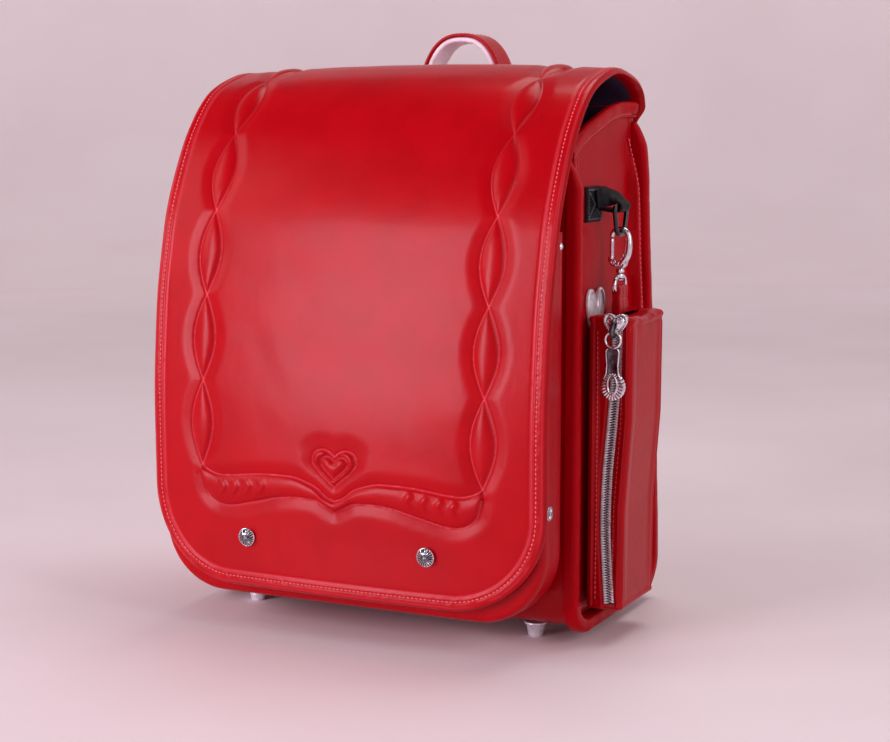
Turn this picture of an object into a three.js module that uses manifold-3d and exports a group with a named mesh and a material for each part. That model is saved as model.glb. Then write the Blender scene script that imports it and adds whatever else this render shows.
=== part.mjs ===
// School ransel: a stiff leather backpack with a full length flap, a front pocket and a key pouch.
// Millimetres, +Z up. The wearer's back is toward +Y, the flap faces -Y, +X is the pouch side.
// The model is drawn round the middle plane x = 0 and then moved so that its origin is the middle
// of the bottom of its box.
import * as THREE from 'three';
import { mergeVertices } from 'three/addons/utils/BufferGeometryUtils.js';
import Module from 'manifold-3d';

const wasm = await Module();
wasm.setup();

// Driving dimensions
const SEAT = 0.3;
const BAG_HEIGHT = 339;
const BODY_WIDTH = 250;
const BODY_FRONT_Y = -46;
const BODY_DEPTH = 149;
const FRONT_WALL_HEIGHT = 281;
const BACK_WALL_HEIGHT = 318;
const LEATHER = 2.4;
const FLOOR_PANEL_Z = 9.6;
const FRONT_CORNER_RADIUS = 26;
const BACK_CORNER_RADIUS = 24;
const SIDE_TOP_REAR_Z = 319;
const SIDE_TOP_FRONT_Z = 290;

const RIM_THICKNESS = 7.7;
const RIM_BAND = 9;
const RIM_FLOOR_Z = 6;
const RIM_INSET = 0.5;
const RIM_FRONT_TOP_Z = 284.1;
const RIM_BACK_TOP_Z = 308.5;
const TRIM_BAND = 8.5;
const TRIM_THICKNESS = 1.3;
const TRIM_EDGE = 0.2;
const TRIM_REAR_GAP = 2;

const FLAP_WIDTH = 262;
const FLAP_THICKNESS = 4;
const FLAP_FRONT_Y = -88;
const FLAP_DEPTH = 159;
const FLAP_CORNER_RADIUS = 58;
const FLAP_CROWN = 8.5;
const FLAP_TAIL_Z = 262;
const FLAP_TAIL_WIDTH = 249.2;
const FLAP_TAIL_TOP_Z = 299;
const FLAP_TAIL_CLEARANCE = 0.5;

const CHAIN_OFFSET = 93.6;
const CHAIN_FIRST_CROSSING = 72;
const CHAIN_PITCH = 51.5;
const CHAIN_LENSES = 6;
const CHAIN_HALF_WIDTH = 7.7;
const CHAIN_RISE = 2.4;
const BAND_HALF_WIDTH = 14.5;
const BAND_RISE = 1.3;
const HEART_WIDTH = 29.5;
const HEART_HEIGHT = 21.6;
const HEART_TIP = 66;
const HEART_RISE = 2.6;
const SCROLL_HEIGHT = 55;
const SCROLL_WIDTH = 16;
const SCROLL_RISE = 1.8;

const POCKET_WIDTH = 256;
const POCKET_TOP_Z = 246;
const POCKET_FLOOR_Z = 21;
const POCKET_REAR_Y = -58.5;
const POCKET_CORNER_RADIUS = 42;
const POCKET_FLAP_CLEARANCE = 1.2;
const GUSSET_WIDTH = 234;
const GUSSET_FLOOR_Z = 31;
const GUSSET_CORNER_RADIUS = 34;

const FOOT_TOP_RADIUS = 7;
const FOOT_BOTTOM_RADIUS = 4.3;
const FOOT_FLANGE = 1.2;
const FOOT_LEDGE = 0.6;
const FOOT_SPREAD = 98;
const FOOT_FRONT_Y = -22;
const FOOT_REAR_Y = 74;

const STUD_RADIUS = 5.6;
const STUD_HEIGHT = 3.4;
const STUD_SPREAD = 60;
const STUD_Z = 60;
const SIDE_STUD_RADIUS = 6;
const SIDE_STUD_HEIGHT = 2.6;
const SIDE_STUD_Y = -75;
const SIDE_STUD_Z = 88;
const RIVET_RADIUS = 2.1;
const RIVET_HEIGHT = 1.2;
const RIVET_DROP = 8;
const CLASP_RADIUS = 8;
const CLASP_Z = 60;

const PAD_WIDTH = 196;
const PAD_THICKNESS = 8;
const PAD_BOTTOM_Z = 62;
const PAD_TOP_Z = 252;
const BRACKET_WIDTH = 172;
const BRACKET_THICKNESS = 4;
const BRACKET_BOTTOM_Z = 268;
const BRACKET_SHELF_Z = 294;
const BRACKET_SHELF_DEPTH = 30;
const HANDLE_WIDTH = 24;
const HANDLE_SPAN = 66;
const HANDLE_RISE = 71;
const HANDLE_SKIN = 2.2;
const HANDLE_LINING = 2.6;
const STRAP_OFFSET = 60;
const STRAP_WIDTH = 46;
const STRAP_TAIL_WIDTH = 28;
const STRAP_THICKNESS = 8;
const STRAP_TAIL_THICKNESS = 4;
const STRAP_BOW = 43.4;
const TAB_WIDTH = 34;
const TAB_HEIGHT = 30;
const TAB_THICKNESS = 4;
const TAB_Z = 30;

const WEB_THICKNESS = 1.8;
const WEB_PATCH_LENGTH = 18;
const WEB_PATCH_HEIGHT = 21;
const CHAIN_X = 138;
const CHAIN_Y = 8;
const RING_Z = 258.2;
const RING_WIRE = 2.8;
const RING_HEIGHT = 16.7;
const RING_TOP_WIDTH = 22.5;
const WEB_LOOP_CLEARANCE = 1.2;
const RING_BOTTOM_WIDTH = 9;
const HOOK_WIRE = 3;
const HOOK_WIDTH = 13.6;
const HOOK_BASE_Z = 226;
const HOOK_EAR = 1.6;
const HOOK_SHOULDER = 3.2;
const HOOK_NECK_WIDTH = 4;
const HOOK_NECK_DROP = 5;
const GATE_LENGTH = 12;
const GATE_THICKNESS = 2.6;
const EYE_WIRE = 2.4;
const EYE_WIDTH = 20.4;
const EYE_BAR_Z = 209;
const EYE_TOP_Z = 217;
const EYE_BOSS_RADIUS = 2.6;
const EYE_BORE_RADIUS = 1.5;
const PIN_RADIUS = 1.1;
const PIN_HEAD_RADIUS = 2.1;
const PIN_HEAD_HEIGHT = 1.5;

const POUCH_INNER_X = 129;
const POUCH_FRONT_Y = -20;
const POUCH_TOP_WIDTH = 27;
const POUCH_BOTTOM_WIDTH = 22;
const POUCH_DEPTH = 57;
const POUCH_BOTTOM_Z = 20;
const POUCH_TOP_Z = 196;
const POUCH_WALL = 2;
const POUCH_CORNER_RADIUS = 4.5;
const TAB_LOOP_CLEARANCE = 0.7;
const ZIP_WIDTH = 5.6;
const ZIP_THICKNESS = 2.6;
const ZIP_MARGIN = 5;
const ZIP_PROUD = 0.6;
const ZIP_RIM_CLEARANCE = 1.3;
const SLIDER_WIDTH = 14;
const SLIDER_HEIGHT = 13;
const SLIDER_DEPTH = 4;
const SLIDER_TOP_Z = 197;
const PULL_LENGTH = 40;
const PULL_WAIST = 8.6;
const PULL_RING_RADIUS = 5.6;
const PULL_FAN_WIDTH = 16.5;
const PULL_THICKNESS = 1.6;
const PULL_EYE_RADIUS = 1.6;
const PULL_STAND_OFF = 1.9;
const PULL_RING_BAND = 1.8;
const BRIDGE_WIDTH = 2.6;
const ORNAMENT_WIDTH = 27;
const ORNAMENT_HEIGHT = 34;
const ORNAMENT_THICKNESS = 3;
const ORNAMENT_TOP_Z = 210;
const ORNAMENT_SETBACK = 18.5;

// The line of the back wall, from the floor up: heights as shares of BAG_HEIGHT and depths as
// shares of BODY_DEPTH behind the front of the body.
const BACK_LINE = [
  { height: 0.09, depth: 1.0 },
  { height: 0.18, depth: 0.985 },
  { height: 0.3, depth: 0.96 },
  { height: 0.44, depth: 0.921 },
  { height: 0.58, depth: 0.872 },
  { height: 0.67, depth: 0.842 },
  { height: 0.74, depth: 0.827 },
  { height: 0.79, depth: 0.817 },
  { height: 0.81, depth: 0.811 },
  { height: 0.83, depth: 0.8025 },
  { height: 0.85, depth: 0.791 },
  { height: 0.87, depth: 0.7765 },
  { height: 0.89, depth: 0.76 },
  { height: 0.925, depth: 0.726 },
  { height: 0.96, depth: 0.704 },
];

// The side view of the flap, from its lower edge up the face, over the top and down behind:
// heights as shares of BAG_HEIGHT and depths as shares of FLAP_DEPTH.
const FLAP_LINE = [
  { height: 0.086, depth: 0.0 },
  { height: 0.177, depth: 0.006 },
  { height: 0.277, depth: 0.004 },
  { height: 0.425, depth: 0.003 },
  { height: 0.516, depth: 0.016 },
  { height: 0.605, depth: 0.037 },
  { height: 0.678, depth: 0.069 },
  { height: 0.749, depth: 0.108 },
  { height: 0.82, depth: 0.175 },
  { height: 0.894, depth: 0.27 },
  { height: 0.959, depth: 0.409 },
  { height: 0.991, depth: 0.581 },
  { height: 1.0, depth: 0.692 },
  { height: 0.994, depth: 0.818 },
  { height: 0.98, depth: 0.926 },
  { height: 0.9617, depth: 0.978 },
  { height: 0.932, depth: 1.0 },
];

// How far the middle of the flap swells out, as a share of FLAP_CROWN along its face.
const CROWN_LINE = [
  { height: 0.0, crown: 0.9 },
  { height: 0.3, crown: 1.0 },
  { height: 0.5, crown: 0.5 },
  { height: 0.75, crown: 0.35 },
  { height: 0.95, crown: 0.45 },
  { height: 1.0, crown: 0.5 },
];

// Columns of the flap, from its middle to its side, as shares of its half width.
const FLAP_COLUMNS = [0, 0.09, 0.2, 0.33, 0.46, 0.56, 0.62, 0.665, 0.715, 0.765, 0.81, 0.86, 0.93, 1];
const FLAP_ROW_STEP = 10.3;

// Upper edge of the side panel, from the front rim back: depth as a share of BODY_DEPTH and
// height as a share of the rise from SIDE_TOP_FRONT_Z to SIDE_TOP_REAR_Z.
const SIDE_TOP_LINE = [
  { depth: 0.0, height: 0.0 },
  { depth: 0.12, height: 0.34 },
  { depth: 0.21, height: 0.52 },
  { depth: 0.3, height: 0.655 },
  { depth: 0.39, height: 0.8 },
  { depth: 0.48, height: 0.915 },
  { depth: 0.56, height: 0.975 },
  { depth: 0.65, height: 1.0 },
  { depth: 0.75, height: 1.0 },
];

// The bow of a shoulder strap: its way down as a share of its drop, how far it stands off the
// back as a share of STRAP_BOW, and its narrowing toward the tail.
const STRAP_LINE = [
  { drop: 0.0, bow: 0.0, narrowing: 0.0 },
  { drop: 0.1, bow: 0.42, narrowing: 0.0 },
  { drop: 0.25, bow: 0.82, narrowing: 0.0 },
  { drop: 0.42, bow: 1.0, narrowing: 0.05 },
  { drop: 0.6, bow: 0.86, narrowing: 0.3 },
  { drop: 0.75, bow: 0.56, narrowing: 0.8 },
  { drop: 0.9, bow: 0.2, narrowing: 1.0 },
  { drop: 1.0, bow: 0.06, narrowing: 1.0 },
];

// The D ring's corners: across as shares of its half width at the top and at the bottom, and its
// drop as a share of RING_HEIGHT.
const RING_LINE = [
  { top: 0.85, bottom: 0, drop: 0 },
  { top: 0.97, bottom: 0, drop: 0.03 },
  { top: 1, bottom: 0, drop: 0.12 },
  { top: 0, bottom: 1.19, drop: 0.82 },
  { top: 0, bottom: 0.74, drop: 0.964 },
  { top: 0, bottom: 0.35, drop: 1 },
];

// The hook's wire from its foot up the thick leg and over to the nose: across as shares of its
// half width, up as shares of its height, girth as shares of HOOK_WIRE.
const HOOK_LINE = [
  { across: 0, up: -0.107, girth: 1.25 },
  { across: 0.55, up: 0.027, girth: 1.35 },
  { across: 1, up: 0.321, girth: 1.3 },
  { across: 1, up: 0.717, girth: 1.15 },
  { across: 0.72, up: 0.915, girth: 1 },
  { across: 0, up: 1, girth: 1 },
  { across: -0.72, up: 0.915, girth: 1 },
  { across: -1, up: 0.781, girth: 0.8 },
];

// Levels of the pouch, from its floor up: height as a share of its height, width as a share of
// the way from its bottom width to its top width, and how far its edge is rounded in.
const POUCH_LEVELS = [
  { up: 0, width: 0.1, pinch: 2.2 },
  { up: 0.012, width: 0.1, pinch: 0.6 },
  { up: 0.04, width: 0.05, pinch: 0 },
  { up: 0.35, width: 0.2, pinch: 0 },
  { up: 0.65, width: 0.95, pinch: 0 },
  { up: 0.96, width: 1, pinch: 0 },
  { up: 0.99, width: 1, pinch: 0.6 },
  { up: 1, width: 1, pinch: 2.2 },
];

// Section of the side rim: across its band, and out as a share of its thickness.
const RIM_SECTION = [
  { across: 0, out: 0 },
  { across: 0, out: 0.55 },
  { across: 0.25, out: 0.93 },
  { across: 0.5, out: 1 },
  { across: 0.75, out: 0.93 },
  { across: 1, out: 0.55 },
  { across: 1, out: 0 },
];

// Section of a shoulder strap: shares of its half width and of its half thickness.
const STRAP_SECTION = [
  { across: -1, out: -0.6 },
  { across: -0.88, out: -1 },
  { across: 0.88, out: -1 },
  { across: 1, out: -0.6 },
  { across: 1, out: 0.6 },
  { across: 0.88, out: 1 },
  { across: -0.88, out: 1 },
  { across: -1, out: 0.6 },
];

// Colours and finishes
const RED_LEATHER = { color: 0xb00814, roughness: 0.3, metalness: 0 };
const CHROME = { color: 0xd6d7da, roughness: 0.18, metalness: 1 };
const BLACK_NYLON = { color: 0x141416, roughness: 0.75, metalness: 0 };
const BLACK_METAL = { color: 0x1c1c20, roughness: 0.35, metalness: 0.8 };
const PALE_LINING = { color: 0xe6d9dc, roughness: 0.85, metalness: 0 };

const TAB_LOOP_WIDTH = EYE_WIDTH - 2 * EYE_WIRE - 2 * TAB_LOOP_CLEARANCE;
const WEB_LOOP_WIDTH = RING_TOP_WIDTH - 2 * RING_WIRE - 2 * WEB_LOOP_CLEARANCE;
const PANEL_X = BODY_WIDTH / 2;
const RIM_X = PANEL_X + SEAT + RIM_THICKNESS;

function interpolate(rows, key, value, at) {
  const last = rows.length - 1;
  if (at <= rows[0][key]) return rows[0][value];
  if (at >= rows[last][key]) return rows[last][value];
  const next = rows.findIndex((row) => row[key] > at);
  const from = rows[next - 1];
  const to = rows[next];
  return THREE.MathUtils.mapLinear(at, from[key], to[key], from[value], to[value]);
}

function backLineY(z) {
  return BODY_FRONT_Y + BODY_DEPTH * interpolate(BACK_LINE, 'height', 'depth', z / BAG_HEIGHT);
}

function backWallY(z) {
  return backLineY(z) - RIM_INSET;
}

function sideTopZ(y) {
  const share = interpolate(SIDE_TOP_LINE, 'depth', 'height', (y - BODY_FRONT_Y) / BODY_DEPTH);
  return SIDE_TOP_FRONT_Z + share * (SIDE_TOP_REAR_Z - SIDE_TOP_FRONT_Z);
}

// A closed body through rings of points, each ring with as many points as the others.
function loftGeometry(loops) {
  const count = loops[0].length;
  const positions = loops.flat().flatMap((point) => point.toArray());
  const index = [];
  for (let row = 0; row < loops.length - 1; row += 1) {
    for (let step = 0; step < count; step += 1) {
      const next = (step + 1) % count;
      const a = row * count + step;
      const b = row * count + next;
      index.push(a, b, a + count, b, b + count, a + count);
    }
  }
  const lastStart = (loops.length - 1) * count;
  for (let step = 1; step < count - 1; step += 1) {
    index.push(0, step + 1, step);
    index.push(lastStart, lastStart + step, lastStart + step + 1);
  }
  return outwardGeometry(positions, index);
}

// A closed ring body: the loft's last loop joins its first.
function ringGeometry(loops) {
  const count = loops[0].length;
  const positions = loops.flat().flatMap((point) => point.toArray());
  const index = [];
  loops.forEach((loop, row) => {
    const nextRow = (row + 1) % loops.length;
    for (let step = 0; step < count; step += 1) {
      const next = (step + 1) % count;
      const a = row * count + step;
      const b = row * count + next;
      const c = nextRow * count + step;
      const d = nextRow * count + next;
      index.push(a, b, c, b, d, c);
    }
  });
  return outwardGeometry(positions, index);
}

// A closed sheet between two grids of points with the same rows and columns.
function sheetGeometry(outer, inner) {
  const rows = outer.length;
  const columns = outer[0].length;
  const positions = [...outer.flat(), ...inner.flat()].flatMap((point) => point.toArray());
  const shift = rows * columns;
  const index = [];
  const quad = (a, b, c, d) => index.push(a, b, c, a, c, d);
  for (let row = 0; row < rows - 1; row += 1) {
    for (let column = 0; column < columns - 1; column += 1) {
      const a = row * columns + column;
      quad(a, a + 1, a + columns + 1, a + columns);
      quad(a + shift, a + columns + shift, a + columns + 1 + shift, a + 1 + shift);
    }
  }
  for (let column = 0; column < columns - 1; column += 1) {
    const top = (rows - 1) * columns + column;
    quad(column + 1, column, column + shift, column + 1 + shift);
    quad(top, top + 1, top + 1 + shift, top + shift);
  }
  for (let row = 0; row < rows - 1; row += 1) {
    const left = row * columns;
    const right = left + columns - 1;
    quad(left, left + columns, left + columns + shift, left + shift);
    quad(right + columns, right, right + shift, right + columns + shift);
  }
  return outwardGeometry(positions, index);
}

function outwardGeometry(positions, index) {
  const at = (corner) => new THREE.Vector3().fromArray(positions, 3 * corner);
  let volume = 0;
  for (let corner = 0; corner < index.length; corner += 3) {
    const [a, b, c] = [at(index[corner]), at(index[corner + 1]), at(index[corner + 2])];
    volume += a.dot(b.cross(c));
  }
  const geometry = new THREE.BufferGeometry();
  geometry.setAttribute('position', new THREE.Float32BufferAttribute(positions, 3));
  geometry.setIndex(volume > 0 ? index : index.reverse());
  return geometry;
}

function solidOf(geometry) {
  const bare = geometry.clone();
  bare.deleteAttribute('normal');
  bare.deleteAttribute('uv');
  const merged = mergeVertices(bare, 1e-4);
  return new wasm.Manifold(new wasm.Mesh({
    numProp: 3,
    vertProperties: new Float32Array(merged.attributes.position.array),
    triVerts: new Uint32Array(merged.index.array),
  }));
}

function geometryOf(solid) {
  const mesh = solid.getMesh();
  const geometry = new THREE.BufferGeometry();
  geometry.setAttribute('position', new THREE.BufferAttribute(mesh.vertProperties, 3));
  geometry.setIndex(new THREE.BufferAttribute(mesh.triVerts, 1));
  return geometry;
}

// A side view outline, given as y and z, made thick from x = start to x = end.
function slabAlongX(outline, start, end) {
  const shape = outline instanceof THREE.Shape ? outline : new THREE.Shape(outline);
  const geometry = new THREE.ExtrudeGeometry(shape, {
    depth: end - start, bevelEnabled: false, curveSegments: 8,
  });
  const turn = new THREE.Matrix4().makeBasis(
    new THREE.Vector3(0, 1, 0), new THREE.Vector3(0, 0, 1), new THREE.Vector3(1, 0, 0));
  return geometry.applyMatrix4(turn).translate(start, 0, 0);
}

// A front view outline, given as x and z, made thick from y = start back to y = end.
function slabAlongY(outline, start, end) {
  const shape = outline instanceof THREE.Shape ? outline : new THREE.Shape(outline);
  const geometry = new THREE.ExtrudeGeometry(shape, {
    depth: end - start, bevelEnabled: false, curveSegments: 8,
  });
  const turn = new THREE.Matrix4().makeBasis(
    new THREE.Vector3(1, 0, 0), new THREE.Vector3(0, 0, 1), new THREE.Vector3(0, -1, 0));
  return geometry.applyMatrix4(turn).translate(0, end, 0);
}

function arcPoints(centreX, centreY, radius, from, to, steps) {
  return Array.from({ length: steps + 1 }, (_, step) => {
    const angle = from + (to - from) * step / steps;
    return new THREE.Vector2(centreX + radius * Math.cos(angle), centreY + radius * Math.sin(angle));
  });
}

// Points moved to the left of the way that a line of points runs.
function offsetLine(points, distance) {
  return points.map((point, place) => {
    const before = points[Math.max(place - 1, 0)];
    const after = points[Math.min(place + 1, points.length - 1)];
    const way = new THREE.Vector2().subVectors(after, before).normalize();
    return new THREE.Vector2(point.x - way.y * distance, point.y + way.x * distance);
  });
}

// Outline of a bent sheet that lies to the left of a line of points.
function bandOutline(points, thickness) {
  return [...points, ...offsetLine(points, thickness).reverse()];
}

// The body's side line from the top of the front, round the floor, to the top of the back.
function bodyLine(inset, floorZ, frontTopZ, backTopZ) {
  const frontY = BODY_FRONT_Y + inset;
  const frontRadius = FRONT_CORNER_RADIUS - inset;
  const backRadius = BACK_CORNER_RADIUS - inset;
  const backFootZ = floorZ + backRadius;
  const backY = backLineY(backFootZ) - inset;
  const heights = BACK_LINE.map((row) => row.height * BAG_HEIGHT)
    .filter((z) => z > backFootZ + 1 && z < backTopZ - 1);
  const rise = [...heights, backTopZ].map((z) => new THREE.Vector2(backLineY(z) - inset, z));
  return [
    new THREE.Vector2(frontY, frontTopZ),
    ...arcPoints(frontY + frontRadius, floorZ + frontRadius, frontRadius, Math.PI, 1.5 * Math.PI, 5),
    ...arcPoints(backY - backRadius, backFootZ, backRadius, 1.5 * Math.PI, 2 * Math.PI, 5),
    ...rise,
  ];
}

function mainCompartment() {
  const line = bodyLine(RIM_INSET, FLOOR_PANEL_Z, FRONT_WALL_HEIGHT, BACK_WALL_HEIGHT);
  return slabAlongX(bandOutline(line, LEATHER), -PANEL_X, PANEL_X);
}

function sidePanel(side) {
  const inset = RIM_INSET + LEATHER + SEAT;
  const line = bodyLine(inset, FLOOR_PANEL_Z + LEATHER + SEAT, sideTopZ(BODY_FRONT_Y + inset),
    SIDE_TOP_REAR_Z);
  const top = sideTopPoints(inset, backLineY(SIDE_TOP_REAR_Z) - inset, 0);
  const outer = side * PANEL_X;
  const inner = side * (PANEL_X - LEATHER);
  return slabAlongX([...line, ...top.reverse()], Math.min(outer, inner), Math.max(outer, inner));
}

function sideTopPoints(inset, rearY, drop) {
  const frontY = BODY_FRONT_Y + inset;
  const count = SIDE_TOP_LINE.length + 1;
  return Array.from({ length: count }, (_, step) => {
    const y = THREE.MathUtils.lerp(frontY, rearY, (step + 0.5) / count);
    return new THREE.Vector2(y, sideTopZ(y) - drop);
  });
}

// The rim is a padded roll: its band is rounded toward the outside of the bag.
function sideRim(side) {
  const line = bodyLine(0, RIM_FLOOR_Z, RIM_FRONT_TOP_Z, RIM_BACK_TOP_Z);
  const inner = offsetLine(line, RIM_BAND);
  const loops = line.map((point, place) => RIM_SECTION.map((row) => {
    const spot = point.clone().lerp(inner[place], row.across);
    return new THREE.Vector3(side * (PANEL_X + SEAT + row.out * RIM_THICKNESS), spot.x, spot.y);
  }));
  return loftGeometry(loops);
}

// The stitched band along the upper edge of the side panel, between the two legs of the rim.
function sideTrim(side) {
  const frontInset = RIM_BAND + SEAT;
  const rearY = backLineY(SIDE_TOP_REAR_Z) - RIM_INSET - TRIM_REAR_GAP;
  const upper = sideTopPoints(frontInset, rearY, TRIM_EDGE);
  const lower = sideTopPoints(frontInset, rearY, TRIM_BAND).reverse();
  const inner = side * (PANEL_X + SEAT);
  const outer = side * (PANEL_X + SEAT + TRIM_THICKNESS);
  return slabAlongX([...upper, ...lower], Math.min(inner, outer), Math.max(inner, outer));
}

// The flap's side line at its edge, with the tail that lies on the back wall.
function flapCurve() {
  const face = FLAP_LINE.map((row) => new THREE.Vector3(0,
    FLAP_FRONT_Y + row.depth * FLAP_DEPTH, row.height * BAG_HEIGHT));
  const tail = Array.from({ length: 5 }, (_, step) => {
    const z = THREE.MathUtils.lerp(FLAP_TAIL_TOP_Z, FLAP_TAIL_Z, step / 4);
    return new THREE.Vector3(0, backWallY(z) + FLAP_TAIL_CLEARANCE + FLAP_THICKNESS, z);
  });
  return new THREE.CatmullRomCurve3([...face, ...tail], false, 'centripetal');
}

const flapPath = flapCurve();
const flapLength = flapPath.getLength();
const flapRows = Math.round(flapLength / FLAP_ROW_STEP);
const flapPoints = flapPath.getSpacedPoints(flapRows);

// Half the flap's width at a length along it: round lower corners, and a tail between the rims.
function flapHalfWidth(along) {
  const fromEnd = flapLength - along;
  const tailLength = FLAP_TAIL_TOP_Z - FLAP_TAIL_Z;
  if (along < FLAP_CORNER_RADIUS) {
    const short = FLAP_CORNER_RADIUS - along;
    return FLAP_WIDTH / 2 - FLAP_CORNER_RADIUS + Math.sqrt(FLAP_CORNER_RADIUS ** 2 - short ** 2);
  }
  const narrow = THREE.MathUtils.smoothstep(fromEnd, tailLength + 7, tailLength + 20);
  return THREE.MathUtils.lerp(FLAP_TAIL_WIDTH, FLAP_WIDTH, narrow) / 2;
}

// The embossed chain of lenses beside the face, the heart and the scroll at its foot.
function embossing(x, along) {
  const beside = Math.abs(x) - CHAIN_OFFSET;
  const phase = (along - CHAIN_FIRST_CROSSING) / CHAIN_PITCH;
  const inChain = phase > 0 && phase < CHAIN_LENSES;
  const swell = Math.abs(Math.sin(Math.PI * phase));
  const lens = inChain ? CHAIN_RISE * swell * Math.max(0, 1 - (beside / CHAIN_HALF_WIDTH) ** 2) : 0;
  const bandReach = BAND_HALF_WIDTH - 3 * (1 - swell);
  const band = inChain ? BAND_RISE * (1 - THREE.MathUtils.smoothstep(Math.abs(beside),
    0.5 * bandReach, 1.15 * bandReach)) : 0;
  const across = Math.abs(x) / CHAIN_OFFSET;
  const scrollMiddle = SCROLL_HEIGHT + 5 * Math.sin(Math.PI * Math.min(1, 1.5 * across));
  const inScroll = Math.abs(x) < CHAIN_OFFSET + CHAIN_HALF_WIDTH;
  const fromScroll = Math.abs(along - scrollMiddle) / SCROLL_WIDTH;
  const scroll = inScroll ? SCROLL_RISE * (1 - THREE.MathUtils.smoothstep(fromScroll, 0.4, 1)) : 0;
  const heartMiddle = HEART_TIP + 0.62 * HEART_HEIGHT;
  const fromHeart = Math.hypot(2 * x / HEART_WIDTH, 2 * (along - heartMiddle) / HEART_HEIGHT);
  const heart = HEART_RISE * (1 - THREE.MathUtils.smoothstep(fromHeart, 0.5, 1.5));
  return Math.max(lens, band, scroll, heart);
}

function flapFrame(row) {
  const along = flapLength * row / flapRows;
  const point = flapPoints[row];
  const before = flapPoints[Math.max(row - 1, 0)];
  const after = flapPoints[Math.min(row + 1, flapRows)];
  const way = after.clone().sub(before).normalize();
  const outward = new THREE.Vector3(0, -way.z, way.y);
  const face = 1 - THREE.MathUtils.smoothstep(point.y, FLAP_FRONT_Y + 0.7 * FLAP_DEPTH,
    FLAP_FRONT_Y + 0.95 * FLAP_DEPTH);
  const crown = face * FLAP_CROWN * interpolate(CROWN_LINE, 'height', 'crown', point.z / BAG_HEIGHT);
  return { along, point, outward, crown };
}

function flapPoint(row, share, lift) {
  const { along, point, outward, crown } = flapFrame(row);
  const x = share * flapHalfWidth(along);
  const swell = crown * (1 - Math.abs(2 * x / FLAP_WIDTH) ** 2.2);
  return point.clone().addScaledVector(outward, swell + lift(x, along)).setX(x);
}

function flap() {
  const shares = [...FLAP_COLUMNS.slice(1).reverse().map((share) => -share), ...FLAP_COLUMNS];
  const rows = Array.from({ length: flapRows + 1 }, (_, row) => row);
  const outer = rows.map((row) => shares.map((share) => flapPoint(row, share, embossing)));
  const inner = rows.map((row) => shares.map((share) => flapPoint(row, share, () => -FLAP_THICKNESS)));
  return sheetGeometry(outer, inner);
}

// The flap's face at a height, on its outside and on its inside.
function flapFaceY(z, x, depth) {
  const row = flapPoints.findIndex((point) => point.z >= z);
  return flapPoint(row, 2 * x / FLAP_WIDTH, () => -depth).y;
}

// Three sides of a box with round lower corners, in the front view.
function trayOutline(width, floorZ, topZ, radius) {
  const half = width / 2;
  return [
    new THREE.Vector2(-half, topZ),
    ...arcPoints(-half + radius, floorZ + radius, radius, Math.PI, 1.5 * Math.PI, 6),
    ...arcPoints(half - radius, floorZ + radius, radius, 1.5 * Math.PI, 2 * Math.PI, 6),
    new THREE.Vector2(half, topZ),
  ];
}

function pocketFaceY(z) {
  const face = flapFaceY(Math.min(z, POCKET_TOP_Z), FLAP_WIDTH / 2, FLAP_THICKNESS);
  return face + POCKET_FLAP_CLEARANCE;
}

// The side view of the pocket: its front follows the flap that covers it.
function pocketSide(inset, rearY, topZ) {
  const floorZ = POCKET_FLOOR_Z + inset;
  const line = Array.from({ length: 13 }, (_, step) => {
    const z = THREE.MathUtils.lerp(topZ, floorZ, step / 12);
    return new THREE.Vector2(pocketFaceY(z) + inset, z);
  });
  return [...line, new THREE.Vector2(rearY, floorZ), new THREE.Vector2(rearY, topZ)];
}

function frontPocket() {
  const half = POCKET_WIDTH / 2;
  const far = FLAP_FRONT_Y - FLAP_CROWN;
  const above = POCKET_TOP_Z + LEATHER;
  const outer = solidOf(slabAlongX(pocketSide(0, POCKET_REAR_Y, POCKET_TOP_Z), -half, half))
    .intersect(solidOf(slabAlongY(
      trayOutline(POCKET_WIDTH, POCKET_FLOOR_Z, above, POCKET_CORNER_RADIUS), far, BODY_FRONT_Y)));
  const hollow = solidOf(slabAlongX(pocketSide(LEATHER, POCKET_REAR_Y - LEATHER, above), -half, half))
    .intersect(solidOf(slabAlongY(
      trayOutline(POCKET_WIDTH - 2 * LEATHER, POCKET_FLOOR_Z + LEATHER, above,
        POCKET_CORNER_RADIUS - LEATHER), far, BODY_FRONT_Y)));
  const rearWay = solidOf(slabAlongY(
    trayOutline(GUSSET_WIDTH - 2 * LEATHER, GUSSET_FLOOR_Z + LEATHER, above,
      GUSSET_CORNER_RADIUS - LEATHER), POCKET_REAR_Y - 2 * LEATHER, BODY_FRONT_Y));
  return geometryOf(outer.subtract(hollow).subtract(rearWay));
}

function pocketGusset() {
  const line = trayOutline(GUSSET_WIDTH, GUSSET_FLOOR_Z, POCKET_TOP_Z, GUSSET_CORNER_RADIUS);
  return slabAlongY(bandOutline(line, LEATHER), POCKET_REAR_Y + SEAT,
    BODY_FRONT_Y + RIM_INSET - SEAT);
}

function latheAlong(profile, direction, segments) {
  const points = profile.map((row) => new THREE.Vector2(row.radius, row.rise));
  const geometry = new THREE.LatheGeometry(points, segments);
  const turn = new THREE.Quaternion().setFromUnitVectors(new THREE.Vector3(0, 1, 0), direction);
  return geometry.applyQuaternion(turn);
}

const FRONTWARD = new THREE.Vector3(0, -1, 0);
const UPWARD = new THREE.Vector3(0, 0, 1);

function foot() {
  const height = FLOOR_PANEL_Z - SEAT;
  return latheAlong([
    { radius: 0, rise: 0 },
    { radius: FOOT_BOTTOM_RADIUS, rise: 0 },
    { radius: FOOT_TOP_RADIUS - FOOT_LEDGE, rise: height - FOOT_FLANGE - TRIM_EDGE },
    { radius: FOOT_TOP_RADIUS, rise: height - FOOT_FLANGE },
    { radius: FOOT_TOP_RADIUS, rise: height },
    { radius: 0, rise: height },
  ], UPWARD, 16);
}

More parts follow.
